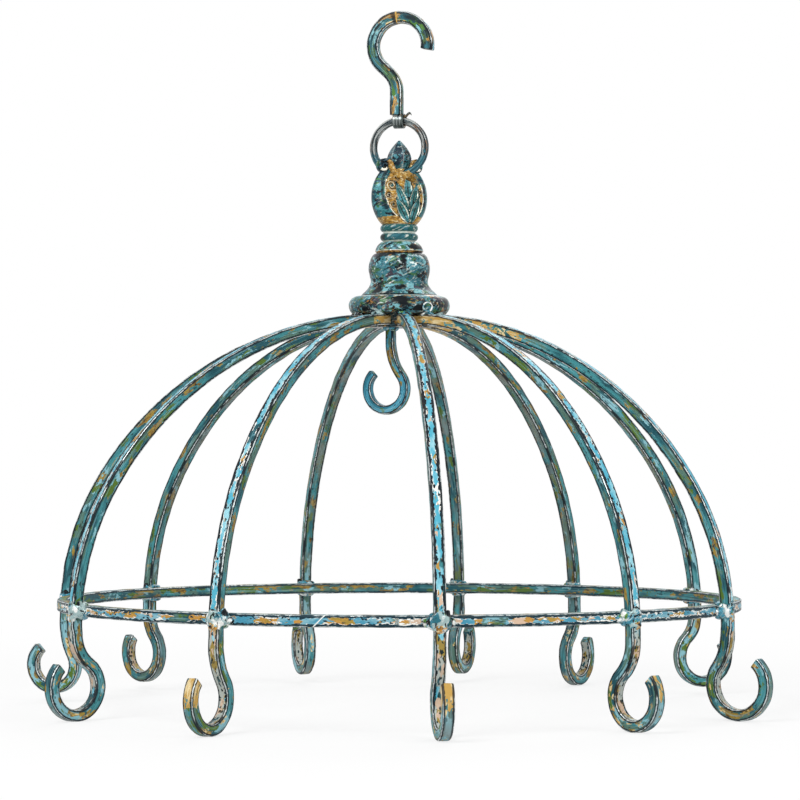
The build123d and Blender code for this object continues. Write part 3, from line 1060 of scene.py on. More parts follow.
@dataclass
class Dome:
    """The eleven ribs, the hoop inside them and the welds where they cross."""

    bar: float = 6.0
    hoop_height: float = 56.2
    rib_radius: float = 186.2
    foot_drop: float = 8.0
    lower_arc_radius: float = 141.3
    lower_arc_angle: float = 31.4
    upper_arc_radius: float = 180.2
    boss_radius: float = 15.5
    boss_thickness: float = 6.9
    twist_length: float = 4.0
    twist_steps: int = 4
    short_hook_lift: float = 4.7
    station_step: float = 2.0
    bevel: float = 0.35
    seam_azimuth: float = -12.2
    seed_step: float = 531.0
    hoop_seed: float = 87.0
    crown_gilding: float = 0.85
    crown_gilding_start: float = 6.0
    crown_gilding_reach: float = 26.0
    right_gilding_reach: float = 60.0
    hook_gilding: float = 0.25
    tip_gilding_span: tuple[float, float] = (18.0, 6.0)
    hook_gilding_start: tuple[float, float] = (105.0, 70.0)
    hook_gilding_end: tuple[float, float] = (12.0, 30.0)
    bare_hook_start: tuple[float, float] = (112.0, 84.0)
    weld_voxel: float = 0.55
    rear_tarnish: float = 0.34
    # Each rib's light level paints the ribs that face the front lighter and the rear ones darker: painted
    # light and painted shade.
    ribs: tuple[Rib, ...] = (
        Rib(6.0, True, 4.0, 6.5, 14.3, 41.0, RibLight.BRIGHT, 0.85),
        Rib(38.0, True, 3.0, 2.0, 14.3, 42.0, RibLight.BRIGHT, 0.5),
        Rib(64.5, True, -10.0, 6.8, 15.3, 51.0, RibLight.BRIGHT),
        Rib(116.5, False, -6.0, 5.0, 14.3, 30.0, RibLight.MIDDLING),
        Rib(146.5, True, 2.5, 3.0, 14.5, 36.0, RibLight.DULL),
        Rib(169.0, False, -10.0, 5.0, 14.3, 36.0, RibLight.DULL),
        Rib(197.5, False, 0.0, 3.5, 14.3, 38.0, RibLight.DULL),
        Rib(230.5, False, -6.0, 5.0, 13.9, 36.0, RibLight.DULL),
        Rib(259.0, False, -8.0, 7.0, 12.6, 48.0, RibLight.MIDDLING),
        Rib(297.5, True, 14.0, 0.0, 14.3, 47.0, RibLight.BRIGHT),
        Rib(331.5, True, -4.0, 6.0, 14.6, 41.0, RibLight.BRIGHT, 0.8),
    )

    def __post_init__(self) -> None:
        """Works out the heights and radii that follow from the rib's curve."""
        self.rib_foot = self.hoop_height - self.foot_drop
        angle = math.radians(self.lower_arc_angle)
        lean = self.lower_arc_radius * (1 - math.cos(angle))
        self.arc_radius = self.rib_radius - lean - self.upper_arc_radius * math.cos(angle)
        self.arc_height = (
            self.rib_foot + self.lower_arc_radius * math.sin(angle) - self.upper_arc_radius * math.sin(angle)
        )
        reach = self.upper_arc_radius + self.bar / 2
        self.crown_height = self.arc_height + math.sqrt(reach**2 - (self.boss_radius - self.arc_radius) ** 2)
        self.boss_foot = self.crown_height - self.boss_thickness
        sag = (self.bar / 2 + self.foot_drop) ** 2 / (2 * self.lower_arc_radius)
        self.hoop_radius = self.rib_radius - self.bar / 2 - sag
        self.hoop_middle = self.hoop_radius - self.bar / 2

    def rib_line(self, rib: Rib) -> list[Station]:
        """A rib's line from the crown down to its hook's tip.

        Args:
            rib: The rib.

        Returns:
            The stations of its line.
        """
        end_angle = math.degrees(math.acos((self.boss_radius - 2 - self.arc_radius) / self.upper_arc_radius))
        upper = arc((self.arc_radius, self.arc_height), self.upper_arc_radius, end_angle,
                    self.lower_arc_angle, self.station_step)
        lower = arc((self.rib_radius - self.lower_arc_radius, self.rib_foot), self.lower_arc_radius,
                    self.lower_arc_angle, 0, self.station_step)
        stations = stand(upper + lower[1:], rib.azimuth, up(0))
        foot = outward(rib.azimuth) * self.rib_radius
        for step in range(1, self.twist_steps + 1):
            share = step / self.twist_steps
            heading = rib.azimuth + rib.turn * share
            height = self.rib_foot - self.twist_length * share
            stations.append(Station(foot + up(height), outward(heading), outward(heading + 90)))
        lift = 0.0 if rib.long_hook else self.short_hook_lift
        hook = HookBend(self.rib_foot - self.twist_length, rib.bow_offset,
                        lift + self.bar / 2 + rib.bow_radius, rib.bow_radius, rib.tip_angle)
        stations += stand(hook.points(self.station_step * 0.6)[1:], rib.azimuth + rib.turn, foot)
        self.age(rib, measure(stations))
        return taper_end(stations, self.bevel)

    def age(self, rib: Rib, stations: list[Station]) -> None:
        """Gilds a rib under the crown, on its hook and at its tip, and bares the hook's outer face.

        Args:
            rib: The rib.
            stations: Its line.
        """
        end = stations[-1].run
        reach = self.crown_gilding_reach
        reach += self.right_gilding_reach * max(0.0, math.sin(math.radians(rib.azimuth)))
        spans = (self.tip_gilding_span, self.hook_gilding_start, self.hook_gilding_end,
                 self.bare_hook_start)
        for station in stations:
            tip, into, out_of, bare = (smoothstep(end - far, end - near, station.run) for far, near in spans)
            crown = self.crown_gilding * smoothstep(reach, self.crown_gilding_start, station.run) ** 0.6
            station.gild = max(crown, rib.tip_gilding * tip, self.hook_gilding * into * out_of)
            station.tone = bare

    def hoop_line(self) -> list[Station]:
        """The hoop's middle line, once round.

        Returns:
            The stations of its line.
        """
        count = int(2 * math.pi * self.hoop_middle / self.station_step)
        ways = [outward(360 * k / count) for k in range(count)]
        return measure([Station(way * self.hoop_middle + up(self.hoop_height), way, up(1)) for way in ways])

    def build(self) -> None:
        """Builds and dresses the ribs, the hoop and the welds."""
        stock = BarStock(self.bar)
        finishes = {
            rib_light: BarPaint(f"rib_paint_{rib_light.value}", **RIB_LIGHT_LEVELS[rib_light]).material() for rib_light in RibLight
        }
        for number, rib in enumerate(self.ribs, 1):
            piece = stock.sweep(f"rib_bar_{number:02d}", self.rib_line(rib), self.seed_step * number)
            dress(piece, finishes[rib.rib_light], Body.RACK, Slot.RIB, f"rib_{number:02d}")
        hoop = stock.sweep("hoop_bar", self.hoop_line(), self.hoop_seed, closed=True)
        seam = self.hoop_seed + math.radians(self.seam_azimuth % 360) * self.hoop_middle
        dress(hoop, replace(HOOP_PAINT, seam_run=seam).material(), Body.RACK, Slot.HOOP, "hoop")
        self.build_welds()

    def build_welds(self) -> None:
        """Builds the lumpy weld metal at each crossing of hoop and rib."""
        welds = WeldMetal("hoop_weld_metal")
        for number, rib in enumerate(self.ribs, 1):
            out, side = outward(rib.azimuth), outward(rib.azimuth + 90)
            middle = out * self.hoop_radius + up(self.hoop_height)
            tarnish = self.rear_tarnish if math.cos(math.radians(rib.azimuth)) < 0 else 0.0
            # Each blob's steps sideways, outwards and up, its reach outwards, sideways and up, its seed,
            # tone and gilding.
            blobs = [
                ((0, 5.3, 1.4), (1.7, 3.6, 4.2), number * 17, -0.1, 0.0),
                ((0, 5.3, -3.6), (1.8, 3.6, 3.0), number * 19, -0.1, 0.5 + 0.3 * (number % 2)),
            ]
            for flank in (-1, 1):
                blobs += [
                    ((flank * 3.9, 1.4, 0), (3.4, 2.3, 4.2), number * 7 + flank, 0.1, tarnish),
                    ((flank * 5.6, 0.3, -0.6), (1.6, 2.6, 2.4), number * 29 + flank, 0.45, 0.0),
                    ((flank * 3.6, 4.0, 0), (2.1, 1.4, 3.4), number * 13 + flank, 0.5, 0.0),
                    ((0, -0.6, flank * 3.3), (2.6, 4.4, 1.6), number * 11 + flank, 0.5 * tarnish, tarnish),
                ]
            blobs.append(((3.9, 2.6, 4.4), (1.4, 1.4, 1.5), number * 31, -1.0, 0.0))
            for steps, reach, seed, tone, gild in blobs:
                spot = along(middle, (side, out, up(1)), steps)
                welds.lump(spot, (out, side, up(1)), reach, seed, tone, gild)
        dress(welds.join(self.weld_voxel), WELD_PAINT.material(), Body.RACK, Slot.WELD, "hoop_welds")


HOOP_PAINT = BarPaint("hoop_paint", band_level=0.38, band_width=0.50, gold_level=0.53, blush_level=0.62,
                      dark="14303B", grime=0.1, olive_level=0.55, flake="4690AA", pale="80B2C0",
                      chip_reach=0.46, ochre_level=0.55)


class WeldMetal:
    """Weld beads that have run into each other."""

    def __init__(self, name: str) -> None:
        """Starts with no metal."""
        self.name = name
        self.shape = bmesh.new()
        self.finishes: list[tuple[Vector, float, float]] = []

    def lump(self, middle: Vector, axes: Sequence[Vector], reach: tuple[float, float, float], seed: float,
             tone: float = 0.0, gild: float = 0.0) -> None:
        """Adds an uneven blob of metal.

        Args:
            middle: The blob's middle.
            axes: The three directions of its reaches.
            reach: How far it reaches along each.
            seed: A number that no other blob has.
            tone: How light or dark it is, from -1 to 1.
            gild: Its gilding.
        """
        self.finishes.append((middle, tone, gild))
        made = bmesh.ops.create_icosphere(self.shape, subdivisions=3, radius=1.0)
        for vertex in made["verts"]:
            way = vertex.co.copy()
            swell = 1 + 0.22 * noise.noise(way * 1.7 + Vector((seed, 0, seed * 0.37)))
            vertex.co = along(middle, axes, [part * size * swell for size, part in zip(reach, way)]) * MM

    def join(self, voxel: float) -> bpy.types.Object:
        """Melts the blobs into one skin.

        Args:
            voxel: The skin's mesh size in millimetres.

        Returns:
            The finished piece.
        """
        raw = finish_mesh(self.name + "_raw", self.shape)
        melt = raw.modifiers.new("melt", "REMESH")
        melt.mode = "VOXEL"
        melt.voxel_size = voxel * MM
        ease = raw.modifiers.new("ease", "SMOOTH")
        ease.factor = 0.5
        ease.iterations = 5
        graph = bpy.context.evaluated_depsgraph_get()
        mesh = bpy.data.meshes.new_from_object(raw.evaluated_get(graph))
        mesh.name = self.name
        bpy.data.objects.remove(raw)
        self.colour(mesh)
        for face in mesh.polygons:
            face.use_smooth = True
        return place_object(self.name, mesh)

    def colour(self, mesh: bpy.types.Mesh, neighbours: int = 4, speckle: float = 1.1) -> None:
        """Gives each point of the skin the tone and the gilding of the blobs beside it.

        Args:
            mesh: The skin's mesh.
            neighbours: How many blobs a point takes after.
            speckle: How far its tone strays from theirs.
        """
        nearest = KDTree(len(self.finishes))
        for number, (middle, _, _) in enumerate(self.finishes):
            nearest.insert(middle, number)
        nearest.balance()
        tone = mesh.attributes.new("tone", "FLOAT", "POINT")
        gild = mesh.attributes.new("gild", "FLOAT", "POINT")
        for vertex in mesh.vertices:
            spot = vertex.co / MM
            shares = [(1 / (0.3 + far) ** 3, number) for _, number, far in nearest.find_n(spot, neighbours)]
            whole = sum(share for share, _ in shares)
            mean = [sum(share * self.finishes[number][part] for share, number in shares) / whole
                    for part in (1, 2)]
            tone.data[vertex.index].value = mean[0] + speckle * noise.noise(spot * 0.35)
            gild.data[vertex.index].value = mean[1]


WELD_PAINT = CastPaint("weld_paint", grounds=("9DB6B6", "2D6B7A", "448EA4"),
                       spots=(("55803A", 0.62), ("E9ECE8", 0.64), ("0A1319", 0.60)), size=6.0,
                       squash=1.0, groove="0A1319", ridge="F2F3EF", ridge_share=0.9, polish=0.25, fray=0.2)


# Hub


def round_over(core: tuple[float, float], reach: tuple[float, float], start: float, end: float,
               count: int) -> list[tuple[float, float]]:
    """Points of an elliptical arc in a profile.

    Args:
        core: The arc's middle.
        reach: Its two radii.
        start: The angle where it starts.
        end: The angle where it ends.
        count: How many steps it takes.

    Returns:
        The points.
    """
    turns = [math.radians(start + (end - start) * k / count) for k in range(count + 1)]
    return [(core[0] + reach[0] * math.cos(t), core[1] + reach[1] * math.sin(t)) for t in turns]


def soften(points: Sequence[tuple[float, float]], rounds: int) -> list[tuple[float, float]]:
    """Cuts the corners off a line of points, a few times over.

    Args:
        points: The line.
        rounds: How many times.

    Returns:
        The rounder line.
    """
    line = list(points)
    for _ in range(rounds):
        cut = [line[0]]
        for (ax, ay), (bx, by) in zip(line, line[1:]):
            cut.append((0.75 * ax + 0.25 * bx, 0.75 * ay + 0.25 * by))
            cut.append((0.25 * ax + 0.75 * bx, 0.25 * ay + 0.75 * by))
        line = cut + [line[-1]]
    return line


@dataclass
class BellHub:
    """The turned hub: a rolled flange, a waisted bell, a collar and two beads."""

    crown_height: float
    bore: float = 4.3
    flange_foot_radius: float = 24.7
    flange_core_radius: float = 22.2
    flange_roll: float = 5.0
    flange_middle: float = 4.6
    flange_half_height: float = 5.3
    bead_neck: float = 8.6
    bead_core: float = 7.9
    bead_roll: float = 2.25
    bead_height: float = 4.4
    bead_gap: float = 0.4
    collar_top: float = 39.2
    segments: int = 144
    lumps: float = 0.22
    seed: float = 4.0
    bell: tuple[tuple[float, float], ...] = (
        (20.9, 9.9), (19.6, 11.3), (17.2, 13.6), (15.6, 16.2), (15.3, 18.4), (16.1, 21.2), (16.5, 24.6),
        (16.1, 28.2), (14.9, 31.2), (13.5, 32.6),
    )
    gilt_step: tuple[tuple[float, float, float, float], ...] = (
        (12.4, 32.9, -0.9, 0.2), (12.2, 33.3, 0.0, 1.0), (12.8, 33.7, 0.2, 1.0),
    )
    collar: tuple[tuple[float, float], ...] = ((12.9, 34.3), (12.3, 36.2), (11.2, 37.8), (9.9, 38.9))

    @property
    def height(self) -> float:
        """The hub's height over the crown."""
        return self.collar_top + self.bead_gap / 2 + 2 * self.bead_height + self.bead_gap

    def profile(self) -> list[tuple[float, float, float, float]]:
        """The hub's profile, from the bore at its foot round to the bore at its top.

        Returns:
            Radius, height, tone and gilding of each point.
        """
        plain = [(self.bore, 0.0), (self.flange_foot_radius - 1.2, 0.0)]
        plain += round_over((self.flange_core_radius, self.flange_middle),
                            (self.flange_roll, self.flange_half_height), -58, 88, 18)
        # The flange carries a painted highlight over its roll and painted shade under it, and the bell
        # carries painted shade in both its corners.
        points = [(r, h, 0.62 * smoothstep(8.6, 9.7, h) - 0.6 * smoothstep(2.6, 0.0, h),
                   0.26 * smoothstep(0.5, 2.5, h)) for r, h in plain]
        points += [(r, h, -1.1 * smoothstep(11.2, 10.1, h) - 0.8 * smoothstep(31.6, 32.5, h), 0.0)
                   for r, h in soften(self.bell, 2)]
        points += self.gilt_step
        points += [(r, h, 0.7 * smoothstep(35.0, 34.3, h) + 0.5 * smoothstep(37.6, 38.8, h), 0.0)
                   for r, h in soften(self.collar, 2)]
        for number in range(2):
            level = self.collar_top + self.bead_gap / 2 + number * (self.bead_height + self.bead_gap)
            points += self.bead(level)
        return points + [(self.bore, self.height, 0.0, 0.0)]

    def bead(self, level: float) -> list[tuple[float, float, float, float]]:
        """The profile of a bead that starts at a level.

        Args:
            level: The height of its foot.

        Returns:
            Radius, height, tone and gilding of each point.
        """
        half = self.bead_height / 2
        points = [(self.bead_neck, level - 0.1, 1.0, 0.3)]
        for r, h in round_over((self.bead_core, level + half), (self.bead_roll, half), -68, 68, 10):
            rise = abs(h - level - half) / half
            points.append((r, h, 1.2 * smoothstep(0.74, 0.94, rise), -1.0))
        return points + [(self.bead_neck, level + self.bead_height, 1.0, 0.3)]

    def build(self) -> None:
        """Turns the profile round the dome's axis, with a casting's unevenness, and dresses the hub."""
        shell = Shell("tone", "gild")
        for radius, height, tone, gild in self.profile():
            shell.ring()
            for k in range(self.segments):
                way = outward(360 * k / self.segments)
                key = (way * radius + up(height)) * 0.16 + Vector((self.seed, 0, 0))
                swell = self.lumps * (noise.noise(key) + 0.5 * noise.noise(key * 2.7))
                cluster = 1.7 * noise.noise(key * 0.8 + Vector((0, 9.0, 0)))
                spot = way * (radius + swell) + up(self.crown_height + height)
                shell.point(spot, tone + (min(0.15, cluster) if abs(tone) < 0.3 else 0.0), gild)
        piece = shell.finish("turned_hub", closed=True, sharp=60)
        dress(piece, HUB_PAINT.material(), Body.RACK, Slot.CAST, "bell_hub")


HUB_PAINT = CastPaint("hub_paint", size=6.6)


# Finial


@dataclass(frozen=True)
class Blade:
    """A leaf blade of the carved face, from its foot to its tip, across the face and over its foot."""

    foot: tuple[float, float]
    tip: tuple[float, float]
    breadth: float

    def place(self, x: float, height: float) -> tuple[float, float, float]:
        """Where a point lies on the blade.

        Args:
            x: The place across the face.
            height: The height over the casting's foot.

        Returns:
            Its share of the way to the tip, its distance from the midrib, where 1 is the blade's edge,
            and a number that is below 0 on the blade's lit half.
        """
        run = (self.tip[0] - self.foot[0], self.tip[1] - self.foot[1])
        length = math.hypot(*run)
        step = (x - self.foot[0], height - self.foot[1])
        share = (step[0] * run[0] + step[1] * run[1]) / length**2
        side = step[0] * run[1] - step[1] * run[0]
        if not 0.0 < share < 1.0:
            return share, 9.0, side
        edge = self.breadth * (0.25 + 0.75 * math.sin(math.pi * share**0.8)) * (1 - share**6)
        return share, abs(side) / length / edge, side


@dataclass(frozen=True)
class Curl:
    """A small scroll of the carved face."""

    middle: tuple[float, float]
    reach: float
    pitch: float
    hand: int

    def wave(self, x: float, height: float) -> tuple[float, float]:
        """How far a point is up the scroll's ridge, and how far inside the scroll it lies.

        Args:
            x: The place across the face.
            height: The height over the foot.

        Returns:
            The two shares, from 0 to 1.
        """
        step = (x - self.middle[0], height - self.middle[1])
        far = math.hypot(*step)
        turn = self.hand * math.atan2(step[1], step[0]) / (2 * math.pi)
        return 0.5 + 0.5 * math.cos(2 * math.pi * (far / self.pitch - turn)), 1 - far / self.reach


@dataclass(frozen=True)
class Scroll:
    """The line of a volute: a gilded arm up the face, and a spiral into the volute's eye.

    A spot of the line is its place across, over and out of the face, with its girth, tone and gilding.
    """

    offset: float = 9.3
    height: float = 31.3
    radius: float = 3.4
    start: float = 40.0
    winding: float = 610.0
    tightening: float = 0.84
    spiral_steps: int = 95
    lip: tuple[float, float] = (215.0, 330.0)
    arm_foot: tuple[float, float] = (0.6, 26.0)
    arm_steps: int = 14
    arm_bow: float = 1.6

    def arm(self) -> list[tuple[float, ...]]:
        """The spots of the gilded arm, from the middle of the face.

        Returns:
            The spots.
        """
        first = math.radians(self.start)
        top = (self.offset - self.radius * math.cos(first), self.height + self.radius * math.sin(first))
        spots = []
        for step in range(self.arm_steps):
            share = step / self.arm_steps
            x, height = (low + (high - low) * share for low, high in zip(self.arm_foot, top))
            bow = self.arm_bow * math.sin(math.pi * share)
            deep = 2.9 + 0.9 * math.sin(math.pi * share * 0.8)
            spots.append((x + bow * 0.6, height - bow, deep, 2.0 - 0.8 * share, 0.0, 1.0))
        return spots

    def spiral(self) -> list[tuple[float, ...]]:
        """The spots of the spiral, from the arm to the volute's eye.

        Returns:
            The spots.
        """
        spots = []
        for step in range(self.spiral_steps + 1):
            share = step / self.spiral_steps
            turn = math.radians(self.start) + math.radians(self.winding) * share
            radius = self.radius * (1 - self.tightening * share**0.85)
            x, height = self.offset - radius * math.cos(turn), self.height + radius * math.sin(turn)
            deep = 3.0 - 1.2 * min(1.0, share * 5)
            tone = (0.8 if self.lip[0] < math.degrees(turn) < self.lip[1] else 0.1) - 0.2 * share
            spots.append((x, height, deep, 0.86 - 0.42 * share, tone, max(0.0, 1 - share * 14)))
        return spots


@dataclass
class Finial:
    """The cast finial: a flattened egg with a carved panel on each face, two volutes and a bud."""

    foot: float
    azimuth: float = 22.0
    ring_azimuth: float = 75.0
    half_width: float = 15.9
    half_height: float = 18.5
    middle: float = 14.9
    top: float = 33.6
    segments: int = 240
    levels: int = 132
    squareness: float = 0.9
    depths: tuple[tuple[float, float], ...] = ((0.0, 8.4), (10.0, 7.5), (19.0, 5.6), (27.0, 3.0), (34.0, 2.4))
    panel_half_width: float = 11.0
    panel_half_height: float = 14.6
    panel_middle: float = 16.2
    panel_depth: float = 1.4
    carving_height: float = 1.5
    eye_height: float = 27.2
    eye_throat: float = 2.65
    eye_mouth: float = 5.6
    eye_reach: float = 9.0
    eye_steps: tuple[float, ...] = (-12.0, -6.0, -3.0, -1.0, 0.0, 1.0, 3.0, 6.0, 12.0)
    round_points: int = 40
    scroll: Scroll = Scroll()
    web: tuple[tuple[float, float, float], ...] = (
        (0.5, -0.9, -1.0), (2.2, -0.9, -0.9), (3.3, -1.2, -0.8), (3.9, -0.9, 0.0),
        (3.9, 0.9, 0.0), (3.3, 1.2, -0.8), (2.2, 0.9, -0.9), (0.5, 0.9, -1.0),
    )
    bud: tuple[tuple[float, float], ...] = (
        (4.0, 29.5), (5.4, 32.4), (6.8, 34.8), (6.2, 37.6), (4.6, 40.6), (2.3, 43.4), (0.5, 45.2),
    )
    bud_facets: int = 6
    facet_points: int = 12
    blades: tuple[Blade, ...] = (
        Blade((2.4, 8.0), (2.9, 27.4), 2.8),
        Blade((1.6, 5.0), (-4.4, 23.4), 2.7),
        Blade((3.4, 6.0), (8.6, 22.6), 2.5),
        Blade((1.6, 0.4), (-5.0, 14.4), 2.7),
        Blade((3.2, 0.4), (9.4, 15.4), 2.5),
    )
    curls: tuple[Curl, ...] = (
        Curl((-6.6, 20.6), 3.3, 1.5, 1),
        Curl((-8.6, 15.2), 2.1, 1.2, -1),
        Curl((-6.4, 10.2), 2.3, 1.1, 1),
        Curl((-3.4, 6.0), 1.4, 0.9, -1),
        Curl((-3.0, 24.8), 1.7, 1.0, -1),
        Curl((8.3, 22.0), 2.2, 1.2, -1),
        Curl((9.9, 17.0), 1.7, 1.0, 1),
        Curl((9.0, 10.6), 1.8, 1.0, -1),
    )

    def __post_init__(self) -> None:
        """Works out the directions of its face and the middle of its foot."""
        self.across, self.face = outward(self.azimuth + 90), outward(self.azimuth)
        self.base = up(self.foot)

    def depth(self, height: float) -> float:
        """The casting's half depth at a height.

        Args:
            height: The height over the foot.

        Returns:
            The half depth.
        """
        for (low, thick), (high, thin) in zip(self.depths, self.depths[1:]):
            if height <= high:
                share = (height - low) / (high - low)
                return thick + (thin - thick) * (0.4 * smoothstep(0, 1, share) + 0.6 * share)
        return self.depths[-1][1]

    def width(self, height: float) -> float:
        """The casting's half width at a height."""
        return self.half_width * math.sqrt(max(0.02, 1 - ((height - self.middle) / self.half_height) ** 2))

    def relief(self, x: float, height: float) -> tuple[float, float, float]:
        """The carving of a face.

        Args:
            x: The place across the face.
            height: The height over the foot.

        Returns:
            How far the face stands out from the plain egg, its tone and its gilding.
        """
        lean = x - 0.06 * (self.panel_middle - height) - 0.8
        over = (height - self.panel_middle) / self.panel_half_height
        inside = 1 - math.hypot(lean / self.panel_half_width, over)
        sunk = smoothstep(-0.01, 0.09, inside)
        ground = -self.panel_depth * sunk
        rise = ground + 0.45 * smoothstep(-0.34, -0.10, inside) * (1 - sunk)
        # The panel has a bright lip on its edge and a dark groove outside it, and the egg's foot is gilt.
        tone = 1.1 * smoothstep(0.04, 0.01, abs(inside - 0.01)) if 4 < height < 24 else 0.0
        tone -= 0.62 * smoothstep(0.12, 0.04, abs(inside + 0.14)) * smoothstep(2.0, 9.0, height)
        gild = max(sunk, smoothstep(5.4, 4.0, height + 0.10 * abs(x)))
        for curl in self.curls:
            wave, depth = curl.wave(x, height)
            if depth > 0:
                held = smoothstep(0.0, 0.25, depth)
                rise = max(rise, ground + self.carving_height * wave * held)
                tone = (1.2 * smoothstep(0.60, 0.85, wave) - 0.9 * smoothstep(0.35, 0.12, wave)) * held
                gild = 0.2 if depth > 0.7 else 1.0
        for blade in self.blades:
            share, off, side = blade.place(x, height)
            if off < 1.0:
                body = self.carving_height * (1 - off**2) ** 0.6 - 0.5 * smoothstep(0.22, 0.0, off)
                rise = ground + body * smoothstep(1.0, 0.9, share) + 0.25
                # A pale edge round each blade, stronger on the blade's lit half as a painted highlight.
                tone = (1.3 if side < 0 else 0.8) * smoothstep(0.64, 0.80, off)
                tone -= 0.9 * smoothstep(0.20, 0.06, off)
                gild = -1.0
            elif off < 1.18:
                tone, rise = -0.9, min(rise, ground - 0.1)
        return rise, tone, gild

    def build(self) -> None:
        """Builds and dresses the finial with its volutes and bud."""
        shell = Shell("tone", "gild")
        for row in range(self.levels + 1):
            height = self.top * row / self.levels
            wide, deep = self.width(height), self.depth(height)
            shell.ring()
            for _, cos, sin in circle(self.segments):
                x = wide * math.copysign(abs(cos) ** self.squareness, cos)
                y = deep * math.copysign(abs(sin) ** self.squareness, sin)
                rise, tone, gild = self.relief(x, height)
                y += math.copysign(rise * min(1.0, abs(sin) * 2.5), sin)
                shell.point(self.base + self.across * x + self.face * y + up(height), tone, gild)
        body = shell.finish("finial_casting", sharp=60)
        self.cut_eye(body)
        paint = FINIAL_PAINT.material()
        dress(body, paint, Body.RACK, Slot.FINIAL, "finial")
        for name, side in (("left", -1), ("right", 1)):
            self.build_volute(name, side, paint)
        self.build_bud()

    def cut_eye(self, body: bpy.types.Object) -> None:
        """Cuts the flared hole that the link ring runs through, whose wall takes the cutter's low tone as
        painted shade.

        Args:
            body: The casting.
        """
        way, side = outward(self.ring_azimuth), outward(self.ring_azimuth + 90)
        centre = up(self.foot + self.eye_height)
        # The cutter's points carry a tone of -1, so the eye's wall is painted dark: painted shade inside the
        # hole.
        shell = Shell("tone")
        for reach in self.eye_steps:
            flare = (abs(reach) / self.eye_reach) ** 1.4
            radius = self.eye_throat + (self.eye_mouth - self.eye_throat) * flare
            shell.ring()
            for _, cos, sin in circle(self.round_points):
                shell.point(centre + way * reach + (side * cos + up(sin)) * radius, -1.0)
        cutter = shell.finish("eye_cutter")
        cut = body.modifiers.new("eye", "BOOLEAN")
        cut.operation = "DIFFERENCE"
        cut.solver = "EXACT"
        cut.object = cutter
        graph = bpy.context.evaluated_depsgraph_get()
        mesh = bpy.data.meshes.new_from_object(body.evaluated_get(graph))
        body.modifiers.clear()
        body.data = mesh
        bpy.data.objects.remove(cutter)

    def scroll_line(self, side: int, look: int) -> list[Station]:
        """A volute's line on one face.

        Args:
            side: -1 on the left of the face and 1 on its right.
            look: 1 on the front face and -1 on the back.

        Returns:
            The stations of its line.
        """
        spots = self.scroll.arm() + self.scroll.spiral()
        places = [self.base + self.across * (side * x) + self.face * (look * deep) + up(height)
                  for x, height, deep, *_ in spots]
        stations = []
        for k, (place, (*_, girth, tone, gild)) in enumerate(zip(places, spots)):
            way = (places[min(k + 1, len(places) - 1)] - places[max(k - 1, 0)]).normalized()
            normal = way.cross(self.face).normalized()
            stations.append(Station(place, normal, way.cross(normal), 0.0, girth, tone, gild))
        return measure(stations)

    def build_volute(self, name: str, side: int, paint: bpy.types.Material) -> None:
        """Builds a volute's two faces and the web between them.

        Args:
            name: Which volute it is.
            side: -1 on the left of the face and 1 on its right.
            paint: Its finish.
        """
        stock = BarStock(2.1, corner=0.6, face_points=3, corner_points=3, hammering=0.02)
        for look_name, look in (("back", -1), ("front", 1)):
            piece = stock.sweep(f"volute_{name}_{look_name}", self.scroll_line(side, look), 40.0 + look)
            dress(piece, paint, Body.RACK, Slot.FINIAL)
        middle = self.base + self.across * (side * self.scroll.offset) + up(self.scroll.height)
        shell = Shell("tone")
        for radius, deep, tone in self.web:
            shell.ring()
            for _, cos, sin in circle(self.round_points):
                shell.point(middle + (self.across * cos + up(sin)) * radius + self.face * deep, tone)
        dress(shell.finish(f"volute_web_{name}", sharp=60), paint, Body.RACK, Slot.FINIAL)

    def build_bud(self) -> None:
        """Builds the pointed bud with its facets."""
        shell = Shell("tone")
        count, half_facet = self.bud_facets * self.facet_points, math.pi / self.bud_facets
        for radius, height in soften(self.bud, 1):
            shell.ring()
            for k in range(count):
                off = abs((k % self.facet_points) / self.facet_points - 0.5) * 2
                pinch = math.cos(half_facet) / math.cos(half_facet * off)
                way = outward(self.azimuth + 360 * k / count)
                shell.point(self.base + way * radius * pinch + up(height), 0.95 if off > 0.9 else 0.0)
        dress(shell.finish("finial_bud", sharp=25), BUD_PAINT.material(), Body.RACK, Slot.FINIAL)


FINIAL_PAINT = CastPaint("finial_paint", grounds=("2B6C72", "173E48", "4E8F97", "1C3B4A"),
                         spots=(("37703C", 0.62), ("B9CFC8", 0.70), ("0A1319", 0.58)), size=3.8, sheen_streaks=0.3,
                         gold="B48B3C", tarnish="7A5726", ridge="F3EFDC", ridge_share=0.92, fray=0.10)
BUD_PAINT = CastPaint("bud_paint", grounds=("3C7480", "2E2A40", "162B38", "3F7A84"),
                      spots=(("C0DCE0", 0.68), ("0A1319", 0.54), ("245A5F", 0.60)), size=4.0,
                      sheen_streaks=0.6, ridge_share=0.35)


# Ring, hanger and centre hook


